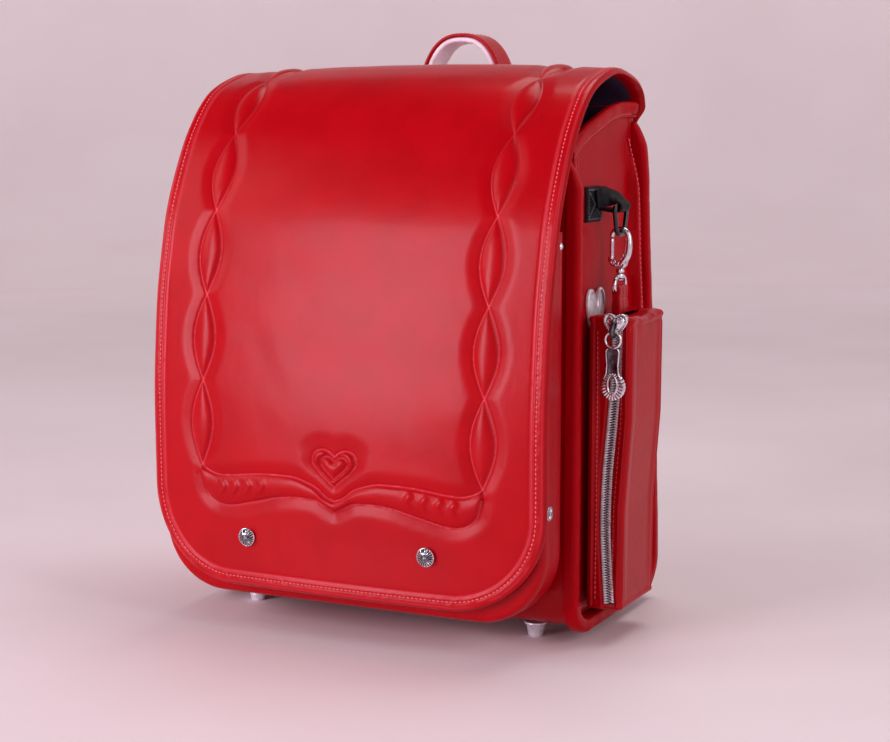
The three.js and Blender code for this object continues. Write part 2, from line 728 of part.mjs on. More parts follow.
function domedStud(radius, height) {
  return [
    { radius: 0, rise: 0 },
    { radius, rise: 0 },
    { radius, rise: 0.3 * height },
    { radius: 0.86 * radius, rise: 0.6 * height },
    { radius: 0.55 * radius, rise: 0.9 * height },
    { radius: 0, rise: height },
  ];
}

// Padding on the wearer's side: two crowned cushions with a channel between them.
function backPad() {
  const rows = 8;
  const columns = 10;
  const surface = (lift) => Array.from({ length: rows + 1 }, (_, row) => {
    const z = THREE.MathUtils.lerp(PAD_BOTTOM_Z, PAD_TOP_Z, row / rows);
    return Array.from({ length: columns + 1 }, (__, column) => {
      const share = 2 * column / columns - 1;
      return new THREE.Vector3(share * PAD_WIDTH / 2, backWallY(z) + SEAT + lift(share, row / rows), z);
    });
  });
  const crowned = (share, up) => {
    const edge = Math.min(1, 4 * (1 - Math.abs(share)), 8 * Math.min(up, 1 - up));
    const channel = THREE.MathUtils.smoothstep(Math.abs(share), 0.02, 0.2);
    const quilting = 0.85 + 0.15 * Math.abs(Math.sin(3 * Math.PI * up));
    return PAD_THICKNESS * (0.25 + 0.75 * Math.sqrt(edge) * (0.35 + 0.65 * channel) * quilting);
  };
  return sheetGeometry(surface(crowned), surface(() => 0));
}

// The bracket behind the top edge carries the handle and both shoulder straps.
function bracketFaceY(z) {
  return backWallY(z) + FLAP_TAIL_CLEARANCE + FLAP_THICKNESS + SEAT;
}

function anchorBracket() {
  const web = [BRACKET_BOTTOM_Z, (BRACKET_BOTTOM_Z + BRACKET_SHELF_Z) / 2, BRACKET_SHELF_Z]
    .map((z) => new THREE.Vector2(bracketFaceY(z), z));
  const shelfRear = bracketFaceY(BRACKET_SHELF_Z) + BRACKET_SHELF_DEPTH;
  const shelfUnder = BRACKET_SHELF_Z - BRACKET_THICKNESS;
  return slabAlongX([
    ...web,
    new THREE.Vector2(shelfRear, BRACKET_SHELF_Z),
    new THREE.Vector2(shelfRear, shelfUnder),
    new THREE.Vector2(bracketFaceY(shelfUnder) + BRACKET_THICKNESS, shelfUnder),
    new THREE.Vector2(bracketFaceY(BRACKET_BOTTOM_Z) + BRACKET_THICKNESS, BRACKET_BOTTOM_Z),
  ], -BRACKET_WIDTH / 2, BRACKET_WIDTH / 2);
}

// An upright arch in the front view, from one foot to the other.
function archLine(span, rise, footZ, steps) {
  return Array.from({ length: steps + 1 }, (_, step) => {
    const angle = Math.PI * step / steps;
    const x = span / 2 * Math.sign(Math.cos(angle)) * Math.abs(Math.cos(angle)) ** 0.8;
    return new THREE.Vector2(x, footZ + rise * Math.sin(angle) ** 0.75);
  });
}

function handleLayer(innerDepth, outerDepth, width) {
  const footZ = BRACKET_SHELF_Z + SEAT;
  const line = archLine(HANDLE_SPAN, HANDLE_RISE, footZ, 16);
  const outer = offsetLine(line, innerDepth);
  const inner = offsetLine(line, outerDepth);
  [outer, inner].forEach((points) => {
    points[0].y = footZ;
    points[points.length - 1].y = footZ;
  });
  const middleY = bracketFaceY(BRACKET_SHELF_Z) + BRACKET_SHELF_DEPTH / 2;
  const near = middleY - width / 2;
  return slabAlongY([...outer, ...inner.reverse()], near, near + width);
}

function shoulderStrap(side) {
  const topZ = BRACKET_SHELF_Z - BRACKET_THICKNESS - SEAT;
  const bottomZ = TAB_Z + TAB_HEIGHT + SEAT;
  const topY = bracketFaceY(topZ) + BRACKET_THICKNESS + SEAT + STRAP_THICKNESS / 2;
  const bottomY = backWallY(bottomZ) + 2 * SEAT + TAB_THICKNESS / 2;
  const line = STRAP_LINE.map((row) => {
    const z = THREE.MathUtils.lerp(topZ, bottomZ, row.drop);
    const y = THREE.MathUtils.lerp(topY, bottomY, row.drop) + row.bow * STRAP_BOW;
    return new THREE.Vector3(side * STRAP_OFFSET, y, z);
  });
  const path = new THREE.CatmullRomCurve3(line, false, 'centripetal');
  const steps = 20;
  const loops = Array.from({ length: steps + 1 }, (_, step) => {
    const share = step / steps;
    const point = path.getPoint(share);
    const way = path.getTangent(share);
    const end = step === 0 || step === steps;
    const out = end ? new THREE.Vector3(0, 1, 0) : new THREE.Vector3(0, -way.z, way.y);
    const drop = (topZ - point.z) / (topZ - bottomZ);
    const narrowing = interpolate(STRAP_LINE, 'drop', 'narrowing', drop);
    const half = THREE.MathUtils.lerp(STRAP_WIDTH, STRAP_TAIL_WIDTH, narrowing) / 2;
    const depth = THREE.MathUtils.lerp(STRAP_THICKNESS, STRAP_TAIL_THICKNESS, narrowing) / 2;
    return STRAP_SECTION.map((corner) => point.clone()
      .addScaledVector(out, corner.out * depth)
      .setX(point.x + corner.across * half));
  });
  return loftGeometry(loops);
}

function strapTab(side) {
  const middle = side * STRAP_OFFSET;
  const heights = [TAB_Z, TAB_Z + TAB_HEIGHT / 2, TAB_Z + TAB_HEIGHT];
  const line = heights.map((z) => new THREE.Vector2(backWallY(z) + SEAT, z));
  return slabAlongX(bandOutline(line, -TAB_THICKNESS), middle - TAB_WIDTH / 2,
    middle + TAB_WIDTH / 2);
}

function webbingPatch() {
  const topZ = RING_Z + 12;
  const rearY = CHAIN_Y - WEB_LOOP_WIDTH / 2 - SEAT;
  return slabAlongX([
    new THREE.Vector2(rearY - WEB_PATCH_LENGTH, topZ),
    new THREE.Vector2(rearY, topZ),
    new THREE.Vector2(rearY, topZ - WEB_PATCH_HEIGHT),
    new THREE.Vector2(rearY - WEB_PATCH_LENGTH, topZ - WEB_PATCH_HEIGHT + 1),
  ], PANEL_X + SEAT, PANEL_X + SEAT + WEB_THICKNESS);
}

// The webbing leaves the panel, passes round the ring's upper bar and comes back to itself.
function webbingLoop() {
  const wall = PANEL_X + SEAT + WEB_THICKNESS;
  const reach = RING_WIRE / 2 + SEAT;
  const inside = [
    new THREE.Vector2(wall, RING_Z - 9),
    new THREE.Vector2(wall, RING_Z + 6),
    new THREE.Vector2(wall + 2, RING_Z + 8.5),
    new THREE.Vector2(CHAIN_X - 5, RING_Z + reach + 4),
    ...arcPoints(CHAIN_X, RING_Z, reach, 0.5 * Math.PI, -0.5 * Math.PI, 6),
    new THREE.Vector2(wall + WEB_THICKNESS + SEAT, RING_Z - 0.5),
  ];
  const outline = [...offsetLine(inside, WEB_THICKNESS), ...inside.reverse()];
  return slabAlongY(outline, CHAIN_Y - WEB_LOOP_WIDTH / 2, CHAIN_Y + WEB_LOOP_WIDTH / 2);
}

// A closed ring of round wire along a loop of corner points in the y z plane.
function wireRing(corners, wire, sides) {
  const centre = corners.reduce((sum, point) => sum.add(point), new THREE.Vector3())
    .divideScalar(corners.length);
  const loops = corners.map((point, place) => {
    const before = corners[(place + corners.length - 1) % corners.length];
    const after = corners[(place + 1) % corners.length];
    const way = after.clone().sub(before).normalize();
    const out = new THREE.Vector3().crossVectors(way, new THREE.Vector3(1, 0, 0)).normalize();
    if (out.dot(point.clone().sub(centre)) < 0) out.negate();
    return Array.from({ length: sides }, (_, side) => {
      const angle = 2 * Math.PI * side / sides;
      return point.clone()
        .addScaledVector(out, wire / 2 * Math.cos(angle))
        .add(new THREE.Vector3(wire / 2 * Math.sin(angle), 0, 0));
    });
  });
  return ringGeometry(loops);
}

function dRing() {
  const top = (RING_TOP_WIDTH - RING_WIRE) / 2;
  const bottom = (RING_BOTTOM_WIDTH - RING_WIRE) / 2;
  const half = RING_LINE.map((row) => ({
    across: row.top * top + row.bottom * bottom, drop: row.drop * RING_HEIGHT,
  }));
  const farHalf = half.map((row) => ({ across: -row.across, drop: row.drop })).reverse();
  const corners = [...half, ...farHalf].map((row) => new THREE.Vector3(
    CHAIN_X, CHAIN_Y + row.across, RING_Z - row.drop));
  return wireRing(corners, RING_WIRE, 8);
}

function wireLoops(points, radii, sides, acrossAxis) {
  const path = new THREE.CatmullRomCurve3(points, false, 'centripetal');
  const steps = 3 * (points.length - 1);
  return Array.from({ length: steps + 1 }, (_, step) => {
    const share = step / steps;
    const point = path.getPoint(share);
    const way = path.getTangent(share);
    const out = new THREE.Vector3().crossVectors(way, acrossAxis).normalize();
    const place = share * (radii.length - 1);
    const low = Math.min(Math.floor(place), radii.length - 2);
    const radius = THREE.MathUtils.lerp(radii[low], radii[low + 1], place - low);
    return Array.from({ length: sides }, (__, side) => {
      const angle = 2 * Math.PI * side / sides;
      return point.clone()
        .addScaledVector(out, radius * Math.cos(angle))
        .addScaledVector(acrossAxis, radius * Math.sin(angle));
    });
  });
}

const hookTopZ = RING_Z - RING_HEIGHT + RING_WIRE / 2 + SEAT + HOOK_WIRE / 2;
const hookHalf = (HOOK_WIDTH - HOOK_WIRE) / 2;
const gatePivotZ = HOOK_BASE_Z + 2;
const gateX = CHAIN_X - hookHalf;
const gateTipZ = gatePivotZ + GATE_LENGTH - SEAT;

// The snap hook: a bent wire over the ring, a flat base for the gate and a swivel pin below.
function snapHook() {
  const radius = HOOK_WIRE / 2;
  const wirePoints = HOOK_LINE.map((row) => new THREE.Vector3(CHAIN_X + row.across * hookHalf,
    CHAIN_Y, HOOK_BASE_Z + row.up * (hookTopZ - HOOK_BASE_Z)));
  const wire = solidOf(loftGeometry(wireLoops(wirePoints,
    HOOK_LINE.map((row) => row.girth * radius), 8, new THREE.Vector3(0, 1, 0))));
  const base = solidOf(slabAlongY([
    new THREE.Vector2(gateX - HOOK_EAR, gatePivotZ - HOOK_EAR),
    new THREE.Vector2(gateX - HOOK_EAR, gatePivotZ - 2 * HOOK_EAR),
    new THREE.Vector2(CHAIN_X - HOOK_NECK_WIDTH / 2, HOOK_BASE_Z - HOOK_NECK_DROP),
    new THREE.Vector2(CHAIN_X + HOOK_NECK_WIDTH / 2, HOOK_BASE_Z - HOOK_NECK_DROP),
    new THREE.Vector2(CHAIN_X + HOOK_SHOULDER, HOOK_BASE_Z),
    new THREE.Vector2(CHAIN_X, gatePivotZ - HOOK_EAR),
  ], CHAIN_Y - radius, CHAIN_Y + radius));
  const collarRise = PIN_HEAD_HEIGHT + EYE_WIRE + 2 * SEAT;
  const pinHeight = HOOK_BASE_Z - HOOK_NECK_DROP + 1 - pinFootZ();
  const pin = solidOf(latheAlong([
    { radius: 0, rise: 0 },
    { radius: PIN_HEAD_RADIUS, rise: 0 },
    { radius: PIN_HEAD_RADIUS, rise: 0.8 * PIN_HEAD_HEIGHT },
    { radius: PIN_RADIUS, rise: PIN_HEAD_HEIGHT },
    { radius: PIN_RADIUS, rise: collarRise + SEAT },
    { radius: PIN_HEAD_RADIUS, rise: collarRise + 2 * SEAT },
    { radius: PIN_HEAD_RADIUS, rise: pinHeight },
    { radius: 0, rise: pinHeight },
  ], UPWARD, 12).translate(CHAIN_X, CHAIN_Y, pinFootZ()));
  return geometryOf(wire.add(base).add(pin));
}

// Foot of the swivel pin, just under the boss of the eye.
function pinFootZ() {
  return EYE_TOP_Z - EYE_WIRE / 2 - SEAT - PIN_HEAD_HEIGHT;
}

// The gate is a straight spring bar that closes the hook and folds inward about its foot.
function hookGate() {
  const half = GATE_THICKNESS / 2;
  const bevel = half / 2;
  return slabAlongY([
    ...arcPoints(gateX, gatePivotZ, half, Math.PI, 2 * Math.PI, 6),
    new THREE.Vector2(gateX + half, gateTipZ - bevel),
    new THREE.Vector2(gateX + half - bevel, gateTipZ),
    new THREE.Vector2(gateX - half + bevel, gateTipZ),
    new THREE.Vector2(gateX - half, gateTipZ - bevel),
  ], CHAIN_Y - half, CHAIN_Y + half);
}

// The swivel eye: a D of wire whose bar runs through the pouch's tab, with a boss for the pin.
function swivelEye() {
  const half = (EYE_WIDTH - EYE_WIRE) / 2;
  const rise = EYE_TOP_Z - EYE_BAR_Z;
  const leg = [[1, 0], [1, 0.45], [0.9, 0.72], [0.62, 0.9], [0.3, 1]];
  const farLeg = leg.map(([across, up]) => [-across, up]).reverse();
  const arch = [...leg, ...farLeg].map(([across, up]) => new THREE.Vector3(CHAIN_X,
    CHAIN_Y + half * across, EYE_BAR_Z + rise * up));
  const wire = solidOf(wireRing(arch, EYE_WIRE, 8));
  const boss = solidOf(latheAlong([
    { radius: 0, rise: -EYE_WIRE / 2 },
    { radius: EYE_BOSS_RADIUS, rise: -EYE_WIRE / 2 },
    { radius: EYE_BOSS_RADIUS, rise: EYE_WIRE / 2 },
    { radius: 0, rise: EYE_WIRE / 2 },
  ], UPWARD, 12).translate(CHAIN_X, CHAIN_Y, EYE_TOP_Z));
  const bore = solidOf(latheAlong([
    { radius: 0, rise: -EYE_WIRE },
    { radius: EYE_BORE_RADIUS, rise: -EYE_WIRE },
    { radius: EYE_BORE_RADIUS, rise: EYE_WIRE },
    { radius: 0, rise: EYE_WIRE },
  ], UPWARD, 12).translate(CHAIN_X, CHAIN_Y, EYE_TOP_Z));
  return geometryOf(wire.add(boss).subtract(bore));
}

// A leather tab folded over the bar of the eye and sewn to the top of the pouch.
function pouchTab() {
  const hole = EYE_WIRE / 2 + SEAT;
  const half = hole + LEATHER / 2;
  const footZ = POUCH_TOP_Z + SEAT;
  const shape = new THREE.Shape([
    new THREE.Vector2(CHAIN_X - half, footZ),
    new THREE.Vector2(CHAIN_X + half, footZ),
    ...arcPoints(CHAIN_X, EYE_BAR_Z, half, 0, Math.PI, 10),
  ]);
  shape.holes.push(new THREE.Path(arcPoints(CHAIN_X, EYE_BAR_Z, hole, 0, 2 * Math.PI, 12).slice(1)));
  return slabAlongY(shape, CHAIN_Y - TAB_LOOP_WIDTH / 2, CHAIN_Y + TAB_LOOP_WIDTH / 2);
}

// One level of the pouch: a round-cornered oblong, drawn in by a wall's thickness when inside.
function pouchLoop(z, widthShare, inset, radius) {
  const width = THREE.MathUtils.lerp(POUCH_BOTTOM_WIDTH, POUCH_TOP_WIDTH, widthShare);
  const low = new THREE.Vector2(POUCH_INNER_X + inset, POUCH_FRONT_Y + inset);
  const high = new THREE.Vector2(POUCH_INNER_X + width - inset, POUCH_FRONT_Y + POUCH_DEPTH - inset);
  const corners = [[high.x, high.y, 0], [low.x, high.y, 1], [low.x, low.y, 2], [high.x, low.y, 3]];
  return corners.flatMap(([x, y, quarter]) => {
    const inX = x === high.x ? x - radius : x + radius;
    const inY = y === high.y ? y - radius : y + radius;
    return arcPoints(inX, inY, radius, quarter * Math.PI / 2, (quarter + 1) * Math.PI / 2, 3)
      .map((spot) => new THREE.Vector3(spot.x, spot.y, z));
  });
}

function pouchLoft(inset) {
  const radius = POUCH_CORNER_RADIUS - inset / 2;
  return loftGeometry(POUCH_LEVELS.map((level) => {
    const z = THREE.MathUtils.lerp(POUCH_BOTTOM_Z + inset, POUCH_TOP_Z - inset, level.up);
    return pouchLoop(z, level.width, inset + level.pinch, radius);
  }));
}

// The zip runs outside of the rim, so that its pull can swing past the rim.
const zipX = RIM_X + PULL_FAN_WIDTH / 2 + ZIP_RIM_CLEARANCE;

function zipOutline(half, endGap) {
  const bottomZ = POUCH_BOTTOM_Z + ZIP_MARGIN + endGap;
  const topZ = POUCH_TOP_Z - ZIP_MARGIN - endGap;
  return [
    new THREE.Vector2(zipX - half, bottomZ),
    new THREE.Vector2(zipX + half, bottomZ),
    new THREE.Vector2(zipX + half, topZ),
    new THREE.Vector2(zipX - half, topZ),
  ];
}

function pouch() {
  const slit = solidOf(slabAlongY(zipOutline(ZIP_WIDTH / 2 + SEAT, 0), POUCH_FRONT_Y - POUCH_WALL,
    POUCH_FRONT_Y + 2 * POUCH_WALL));
  return geometryOf(solidOf(pouchLoft(0)).subtract(solidOf(pouchLoft(POUCH_WALL))).subtract(slit));
}

const zipFrontY = POUCH_FRONT_Y - ZIP_PROUD;

function zipChain() {
  return slabAlongY(zipOutline(ZIP_WIDTH / 2, 2 * SEAT), zipFrontY, zipFrontY + ZIP_THICKNESS);
}

// A heart in its own plane: two round lobes and a point, its middle at the origin.
function heartOutline(width, height) {
  const lobe = width / 4;
  const shoulder = height / 2 - lobe;
  const turn = 0.12 * Math.PI;
  return [
    new THREE.Vector2(0, -height / 2),
    ...arcPoints(lobe, shoulder, lobe, -turn, 0.86 * Math.PI, 7),
    ...arcPoints(-lobe, shoulder, lobe, 0.14 * Math.PI, Math.PI + turn, 7),
  ];
}

const sliderFaceY = zipFrontY - SEAT - SLIDER_DEPTH;
const pullPivotZ = SLIDER_TOP_Z - 0.74 * SLIDER_HEIGHT;
const pullPivotY = sliderFaceY - PULL_STAND_OFF;

// The slider: a heart shaped body with a bridge that holds the pull's ring.
function zipSlider() {
  const middleZ = SLIDER_TOP_Z - SLIDER_HEIGHT / 2;
  const heart = heartOutline(SLIDER_WIDTH, SLIDER_HEIGHT)
    .map((point) => new THREE.Vector2(zipX + point.x, middleZ + point.y));
  const body = solidOf(slabAlongY(heart, sliderFaceY, sliderFaceY + SLIDER_DEPTH));
  const buried = sliderFaceY + SLIDER_DEPTH / 8;
  const eye = PULL_EYE_RADIUS;
  const bridge = new THREE.Shape([
    new THREE.Vector2(buried, middleZ + 0.28 * SLIDER_HEIGHT),
    new THREE.Vector2(pullPivotY - eye, pullPivotZ + 1.62 * eye),
    new THREE.Vector2(pullPivotY - 1.5 * eye, pullPivotZ - 0.62 * eye),
    new THREE.Vector2(pullPivotY - 0.62 * eye, pullPivotZ - 1.62 * eye),
    new THREE.Vector2(buried, pullPivotZ - 1.75 * eye),
  ]);
  bridge.holes.push(new THREE.Path(
    arcPoints(pullPivotY, pullPivotZ, PULL_EYE_RADIUS, 0, 2 * Math.PI, 8).slice(1)));
  const bar = solidOf(slabAlongX(bridge, zipX - BRIDGE_WIDTH / 2, zipX + BRIDGE_WIDTH / 2));
  return geometryOf(body.add(bar));
}

// The pull: a ring at the bridge, a slim waist and a fan shaped grip with an oval hole.
function zipPull() {
  const thick = PULL_THICKNESS;
  const faceY = pullPivotY - thick / 2;
  const ringZ = pullPivotZ - PULL_RING_RADIUS + PULL_RING_BAND / 2;
  const tipZ = ringZ + PULL_RING_RADIUS - PULL_LENGTH;
  const fanZ = tipZ + 0.47 * PULL_FAN_WIDTH;
  const fan = PULL_FAN_WIDTH / 2;
  const waist = PULL_WAIST / 2;
  const shape = new THREE.Shape([
    ...arcPoints(zipX, ringZ, PULL_RING_RADIUS, -0.2 * Math.PI, 1.2 * Math.PI, 10),
    new THREE.Vector2(zipX - waist, ringZ - 0.4 * PULL_LENGTH),
    ...arcPoints(zipX, fanZ, fan, 0.85 * Math.PI, 2.15 * Math.PI, 10),
    new THREE.Vector2(zipX + waist, ringZ - 0.4 * PULL_LENGTH),
  ]);
  shape.holes.push(new THREE.Path(
    arcPoints(zipX, ringZ, PULL_RING_RADIUS - PULL_RING_BAND, 0, 2 * Math.PI, 12).slice(1)));
  const oval = arcPoints(0, 0, fan, 0, 2 * Math.PI, 10).slice(1)
    .map((spot) => new THREE.Vector2(zipX + 0.28 * spot.x, fanZ + 0.12 * fan + 0.62 * spot.y));
  shape.holes.push(new THREE.Path(oval));
  return slabAlongY(shape, faceY, faceY + thick);
}

// The side ornament: a heart that is bevelled all round its flat back.
function heartOrnament() {
  const middleZ = ORNAMENT_TOP_Z - ORNAMENT_HEIGHT / 2;
  const middleY = POUCH_FRONT_Y + ORNAMENT_SETBACK;
  const outline = heartOutline(ORNAMENT_WIDTH, ORNAMENT_HEIGHT);
  const place = (point, share, x) => new THREE.Vector3(x, middleY + share * point.x,
    middleZ + share * point.y);
  const back = PANEL_X + SEAT;
  return loftGeometry([
    outline.map((point) => place(point, 1, back)),
    outline.map((point) => place(point, 1, back + 0.3 * ORNAMENT_THICKNESS)),
    outline.map((point) => place(point, 0.6, back + ORNAMENT_THICKNESS)),
  ]);
}

const model = new THREE.Group();

function addMesh(name, geometry, finish, [x, y, z] = [0, 0, 0]) {
  const mesh = new THREE.Mesh(geometry, new THREE.MeshStandardMaterial(finish));
  mesh.name = name;
  mesh.position.set(x, y, z);
  model.add(mesh);
}

addMesh('main_compartment', mainCompartment(), RED_LEATHER);
addMesh('front_pocket', frontPocket(), RED_LEATHER);
addMesh('pocket_gusset', pocketGusset(), RED_LEATHER);
addMesh('flap', flap(), RED_LEATHER);
addMesh('back_pad', backPad(), RED_LEATHER);
addMesh('anchor_bracket', anchorBracket(), RED_LEATHER);
addMesh('handle_band', handleLayer(0, HANDLE_SKIN, HANDLE_WIDTH), RED_LEATHER);
addMesh('handle_lining', handleLayer(HANDLE_SKIN + SEAT, HANDLE_SKIN + SEAT + HANDLE_LINING,
  HANDLE_WIDTH - 2), PALE_LINING);

[{ side: -1, name: 'left' }, { side: 1, name: 'right' }].forEach(({ side, name }) => {
  const outward = new THREE.Vector3(side, 0, 0);
  const pocketSideX = side * (POCKET_WIDTH / 2 + SEAT);
  addMesh(`side_panel_${name}`, sidePanel(side), RED_LEATHER);
  addMesh(`side_rim_${name}`, sideRim(side), RED_LEATHER);
  addMesh(`side_trim_${name}`, sideTrim(side), RED_LEATHER);
  addMesh(`shoulder_strap_${name}`, shoulderStrap(side), RED_LEATHER);
  addMesh(`strap_tab_${name}`, strapTab(side), RED_LEATHER);
  addMesh(`foot_front_${name}`, foot(), CHROME, [side * FOOT_SPREAD, FOOT_FRONT_Y, 0]);
  addMesh(`foot_rear_${name}`, foot(), CHROME, [side * FOOT_SPREAD, FOOT_REAR_Y, 0]);
  addMesh(`flap_stud_${name}`, latheAlong(domedStud(STUD_RADIUS, STUD_HEIGHT), FRONTWARD, 14), CHROME,
    [side * STUD_SPREAD, flapStudY(), STUD_Z]);
  addMesh(`pocket_stud_${name}`, latheAlong(domedStud(SIDE_STUD_RADIUS, SIDE_STUD_HEIGHT), outward, 14),
    CHROME, [pocketSideX, SIDE_STUD_Y, SIDE_STUD_Z]);
  addMesh(`pocket_rivet_${name}`, latheAlong(domedStud(RIVET_RADIUS, RIVET_HEIGHT), outward, 10), CHROME,
    [pocketSideX, POCKET_REAR_Y - RIVET_RADIUS - SEAT, POCKET_TOP_Z - RIVET_DROP]);
});

// The lowest front of the flap under a stud, so that the stud's flat back clears the bulge.
function flapStudY() {
  const reach = [-1, 0, 1].flatMap((up) => [-1, 0, 1].map((across) => {
    const x = STUD_SPREAD + across * STUD_RADIUS;
    return flapFaceY(STUD_Z + up * STUD_RADIUS, x, -embossing(x, STUD_Z + up * STUD_RADIUS
      - FLAP_LINE[0].height * BAG_HEIGHT));
  }));
  return Math.min(...reach) - SEAT;
}

const claspHeights = [-2, -1, 0, 1, 2].map((up) => CLASP_Z + up * CLASP_RADIUS);
const claspRearY = Math.min(...claspHeights.map((z) => pocketFaceY(z))) - SEAT;
const claspFrontY = Math.max(...claspHeights.map((z) => flapFaceY(z, CLASP_RADIUS, FLAP_THICKNESS)))
  + SEAT;
addMesh('flap_clasp', latheAlong([
  { radius: 0, rise: 0 },
  { radius: CLASP_RADIUS, rise: 0 },
  { radius: CLASP_RADIUS, rise: claspRearY - claspFrontY },
  { radius: 0, rise: claspRearY - claspFrontY },
], FRONTWARD, 18), CHROME, [0, claspRearY, CLASP_Z]);

addMesh('webbing_patch', webbingPatch(), BLACK_NYLON);
addMesh('webbing_loop', webbingLoop(), BLACK_NYLON);
addMesh('d_ring', dRing(), BLACK_METAL);
addMesh('snap_hook', snapHook(), CHROME);
addMesh('hook_gate', hookGate(), CHROME);
addMesh('swivel_eye', swivelEye(), CHROME);
addMesh('pouch_tab', pouchTab(), RED_LEATHER);
addMesh('pouch', pouch(), RED_LEATHER);
addMesh('zip_chain', zipChain(), CHROME);
addMesh('zip_slider', zipSlider(), CHROME);
addMesh('zip_pull', zipPull(), CHROME);
addMesh('heart_ornament', heartOrnament(), CHROME);

// The origin is the middle of the bottom of the whole bag's box.
const box = new THREE.Box3().setFromObject(model);
const middle = box.getCenter(new THREE.Vector3());
model.position.set(-middle.x, -middle.y, -box.min.z);
model.updateMatrixWorld(true);

export default model;
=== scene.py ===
# School ransel: a stiff red backpack with a padded flap, standing on metal feet, with a key pouch
# clipped to its side. Drawn in millimetres round the bag's middle plane, with the floor at zero,
# and then set in metres on the frame.
import math

import bpy
import numpy as np
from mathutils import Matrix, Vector


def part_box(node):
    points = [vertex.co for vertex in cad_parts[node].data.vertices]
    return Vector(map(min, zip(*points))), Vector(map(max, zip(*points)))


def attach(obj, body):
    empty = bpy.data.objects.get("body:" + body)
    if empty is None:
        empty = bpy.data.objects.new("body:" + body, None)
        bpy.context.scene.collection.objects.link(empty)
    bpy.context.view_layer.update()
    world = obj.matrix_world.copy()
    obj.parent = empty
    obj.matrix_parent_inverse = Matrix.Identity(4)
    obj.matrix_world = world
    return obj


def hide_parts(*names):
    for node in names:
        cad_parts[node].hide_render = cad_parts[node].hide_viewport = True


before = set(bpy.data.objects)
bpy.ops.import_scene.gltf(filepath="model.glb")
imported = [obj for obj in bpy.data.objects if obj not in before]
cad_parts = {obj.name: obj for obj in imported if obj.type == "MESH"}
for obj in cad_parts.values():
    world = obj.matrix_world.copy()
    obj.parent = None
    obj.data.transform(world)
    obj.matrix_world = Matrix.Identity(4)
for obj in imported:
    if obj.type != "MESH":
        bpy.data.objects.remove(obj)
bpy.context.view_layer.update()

# The flap is one long panel of padded leather that falls from the back, over the top and down the
# whole face. Its pattern is pressed in hot: two chains of lenses, a scroll like an open book and
# a heart. A turned border with a row of stitches runs round it, and its inside is lined in purple.
flap_low, flap_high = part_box("flap")
body_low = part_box("main_compartment")[0]
BAG_HEIGHT = 339.0
BODY_FRONT_Y, BODY_DEPTH, BODY_INSET = -46.0, 149.0, 0.5
MIDDLE = np.array([
    (flap_low.x + flap_high.x) / 2, body_low.y - (BODY_FRONT_Y + BODY_INSET) / 1000, 0.0])
FLAP_WIDTH = 262.0
FLAP_THICKNESS = 4.0
FLAP_FRONT_Y = -88.0
FLAP_DEPTH = 159.0
FLAP_CORNER = 58.0
FLAP_CROWN = 8.5
FLAP_STITCH_IN = 5.6
FLAP_TAIL_WIDTH = 249.2
FLAP_TAIL_TOP_Z = 299.0
FLAP_TAIL_Z = 262.0
FLAP_LINE = np.array([
    (0.086, 0.0), (0.177, 0.006), (0.277, 0.004), (0.425, 0.003), (0.516, 0.016), (0.605, 0.037),
    (0.678, 0.069), (0.749, 0.108), (0.82, 0.175), (0.894, 0.27), (0.959, 0.409), (0.991, 0.581),
    (1.0, 0.692), (0.994, 0.818), (0.98, 0.926), (0.9617, 0.978), (0.932, 1.0)])
CROWN_LINE = np.array([(0, 0.9), (0.3, 1), (0.5, 0.5), (0.75, 0.35), (0.95, 0.45), (1, 0.5)])
BACK_LINE = np.array([
    (0.09, 1.0), (0.18, 0.985), (0.3, 0.96), (0.44, 0.921), (0.58, 0.872), (0.67, 0.842), (0.74, 0.827),
    (0.79, 0.817), (0.81, 0.811), (0.83, 0.8025), (0.85, 0.791), (0.87, 0.7765), (0.89, 0.76),
    (0.925, 0.726), (0.96, 0.704)])


def smooth(value, low, high):
    """0 below low, 1 above high, and an easy slope between them."""
    share = np.clip((value - low) / (high - low), 0, 1)
    return share * share * (3 - 2 * share)


def spline(points, count):
    """A smooth line through points, as count points at equal steps along it."""
    points = np.asarray(points, float)
    ends = np.vstack([2 * points[0] - points[1], points, 2 * points[-1] - points[-2]])
    line = []
    for before, start, end, after in zip(ends, ends[1:], ends[2:], ends[3:]):
        knots = [max(np.linalg.norm(b - a), 1e-6) ** 0.5
                 for a, b in ((before, start), (start, end), (end, after))]
        first = ((start - before) / knots[0] - (end - before) / (knots[0] + knots[1])
                 + (end - start) / knots[1]) * knots[1]
        last = ((end - start) / knots[1] - (after - start) / (knots[1] + knots[2])
                + (after - end) / knots[2]) * knots[1]
        t = np.linspace(0, 1, 40, endpoint=False)[:, None]
        line.append(start + first * t + (3 * (end - start) - 2 * first - last) * t ** 2
                    + (first + last - 2 * (end - start)) * t ** 3)
    line = np.vstack([*line, points[-1:]])
    way = np.concatenate([[0], np.cumsum(np.linalg.norm(np.diff(line, axis=0), axis=1))])
    stops = np.linspace(0, way[-1], count)
    return np.column_stack([np.interp(stops, way, line[:, axis]) for axis in range(line.shape[1])])


def line_length(points):
    """The length of a line of points."""
    return float(np.linalg.norm(np.diff(points, axis=0), axis=1).sum())


def unit(vectors):
    """The same ways, each one long."""
    return vectors / np.maximum(np.linalg.norm(vectors, axis=-1, keepdims=True), 1e-9)


def ways(points):
    """The direction in which a line of points runs, at each point."""
    return unit(np.gradient(points, axis=0))


def line_distance(spots, line):
    """How far each spot lies from a line of points."""
    nearest = np.full(len(spots), 1e9)
    for start, end in zip(line, line[1:]):
        run = end - start
        share = np.clip((spots - start) @ run / max(run @ run, 1e-9), 0, 1)
        nearest = np.minimum(nearest, np.linalg.norm(spots - start - share[:, None] * run, axis=1))
    return nearest


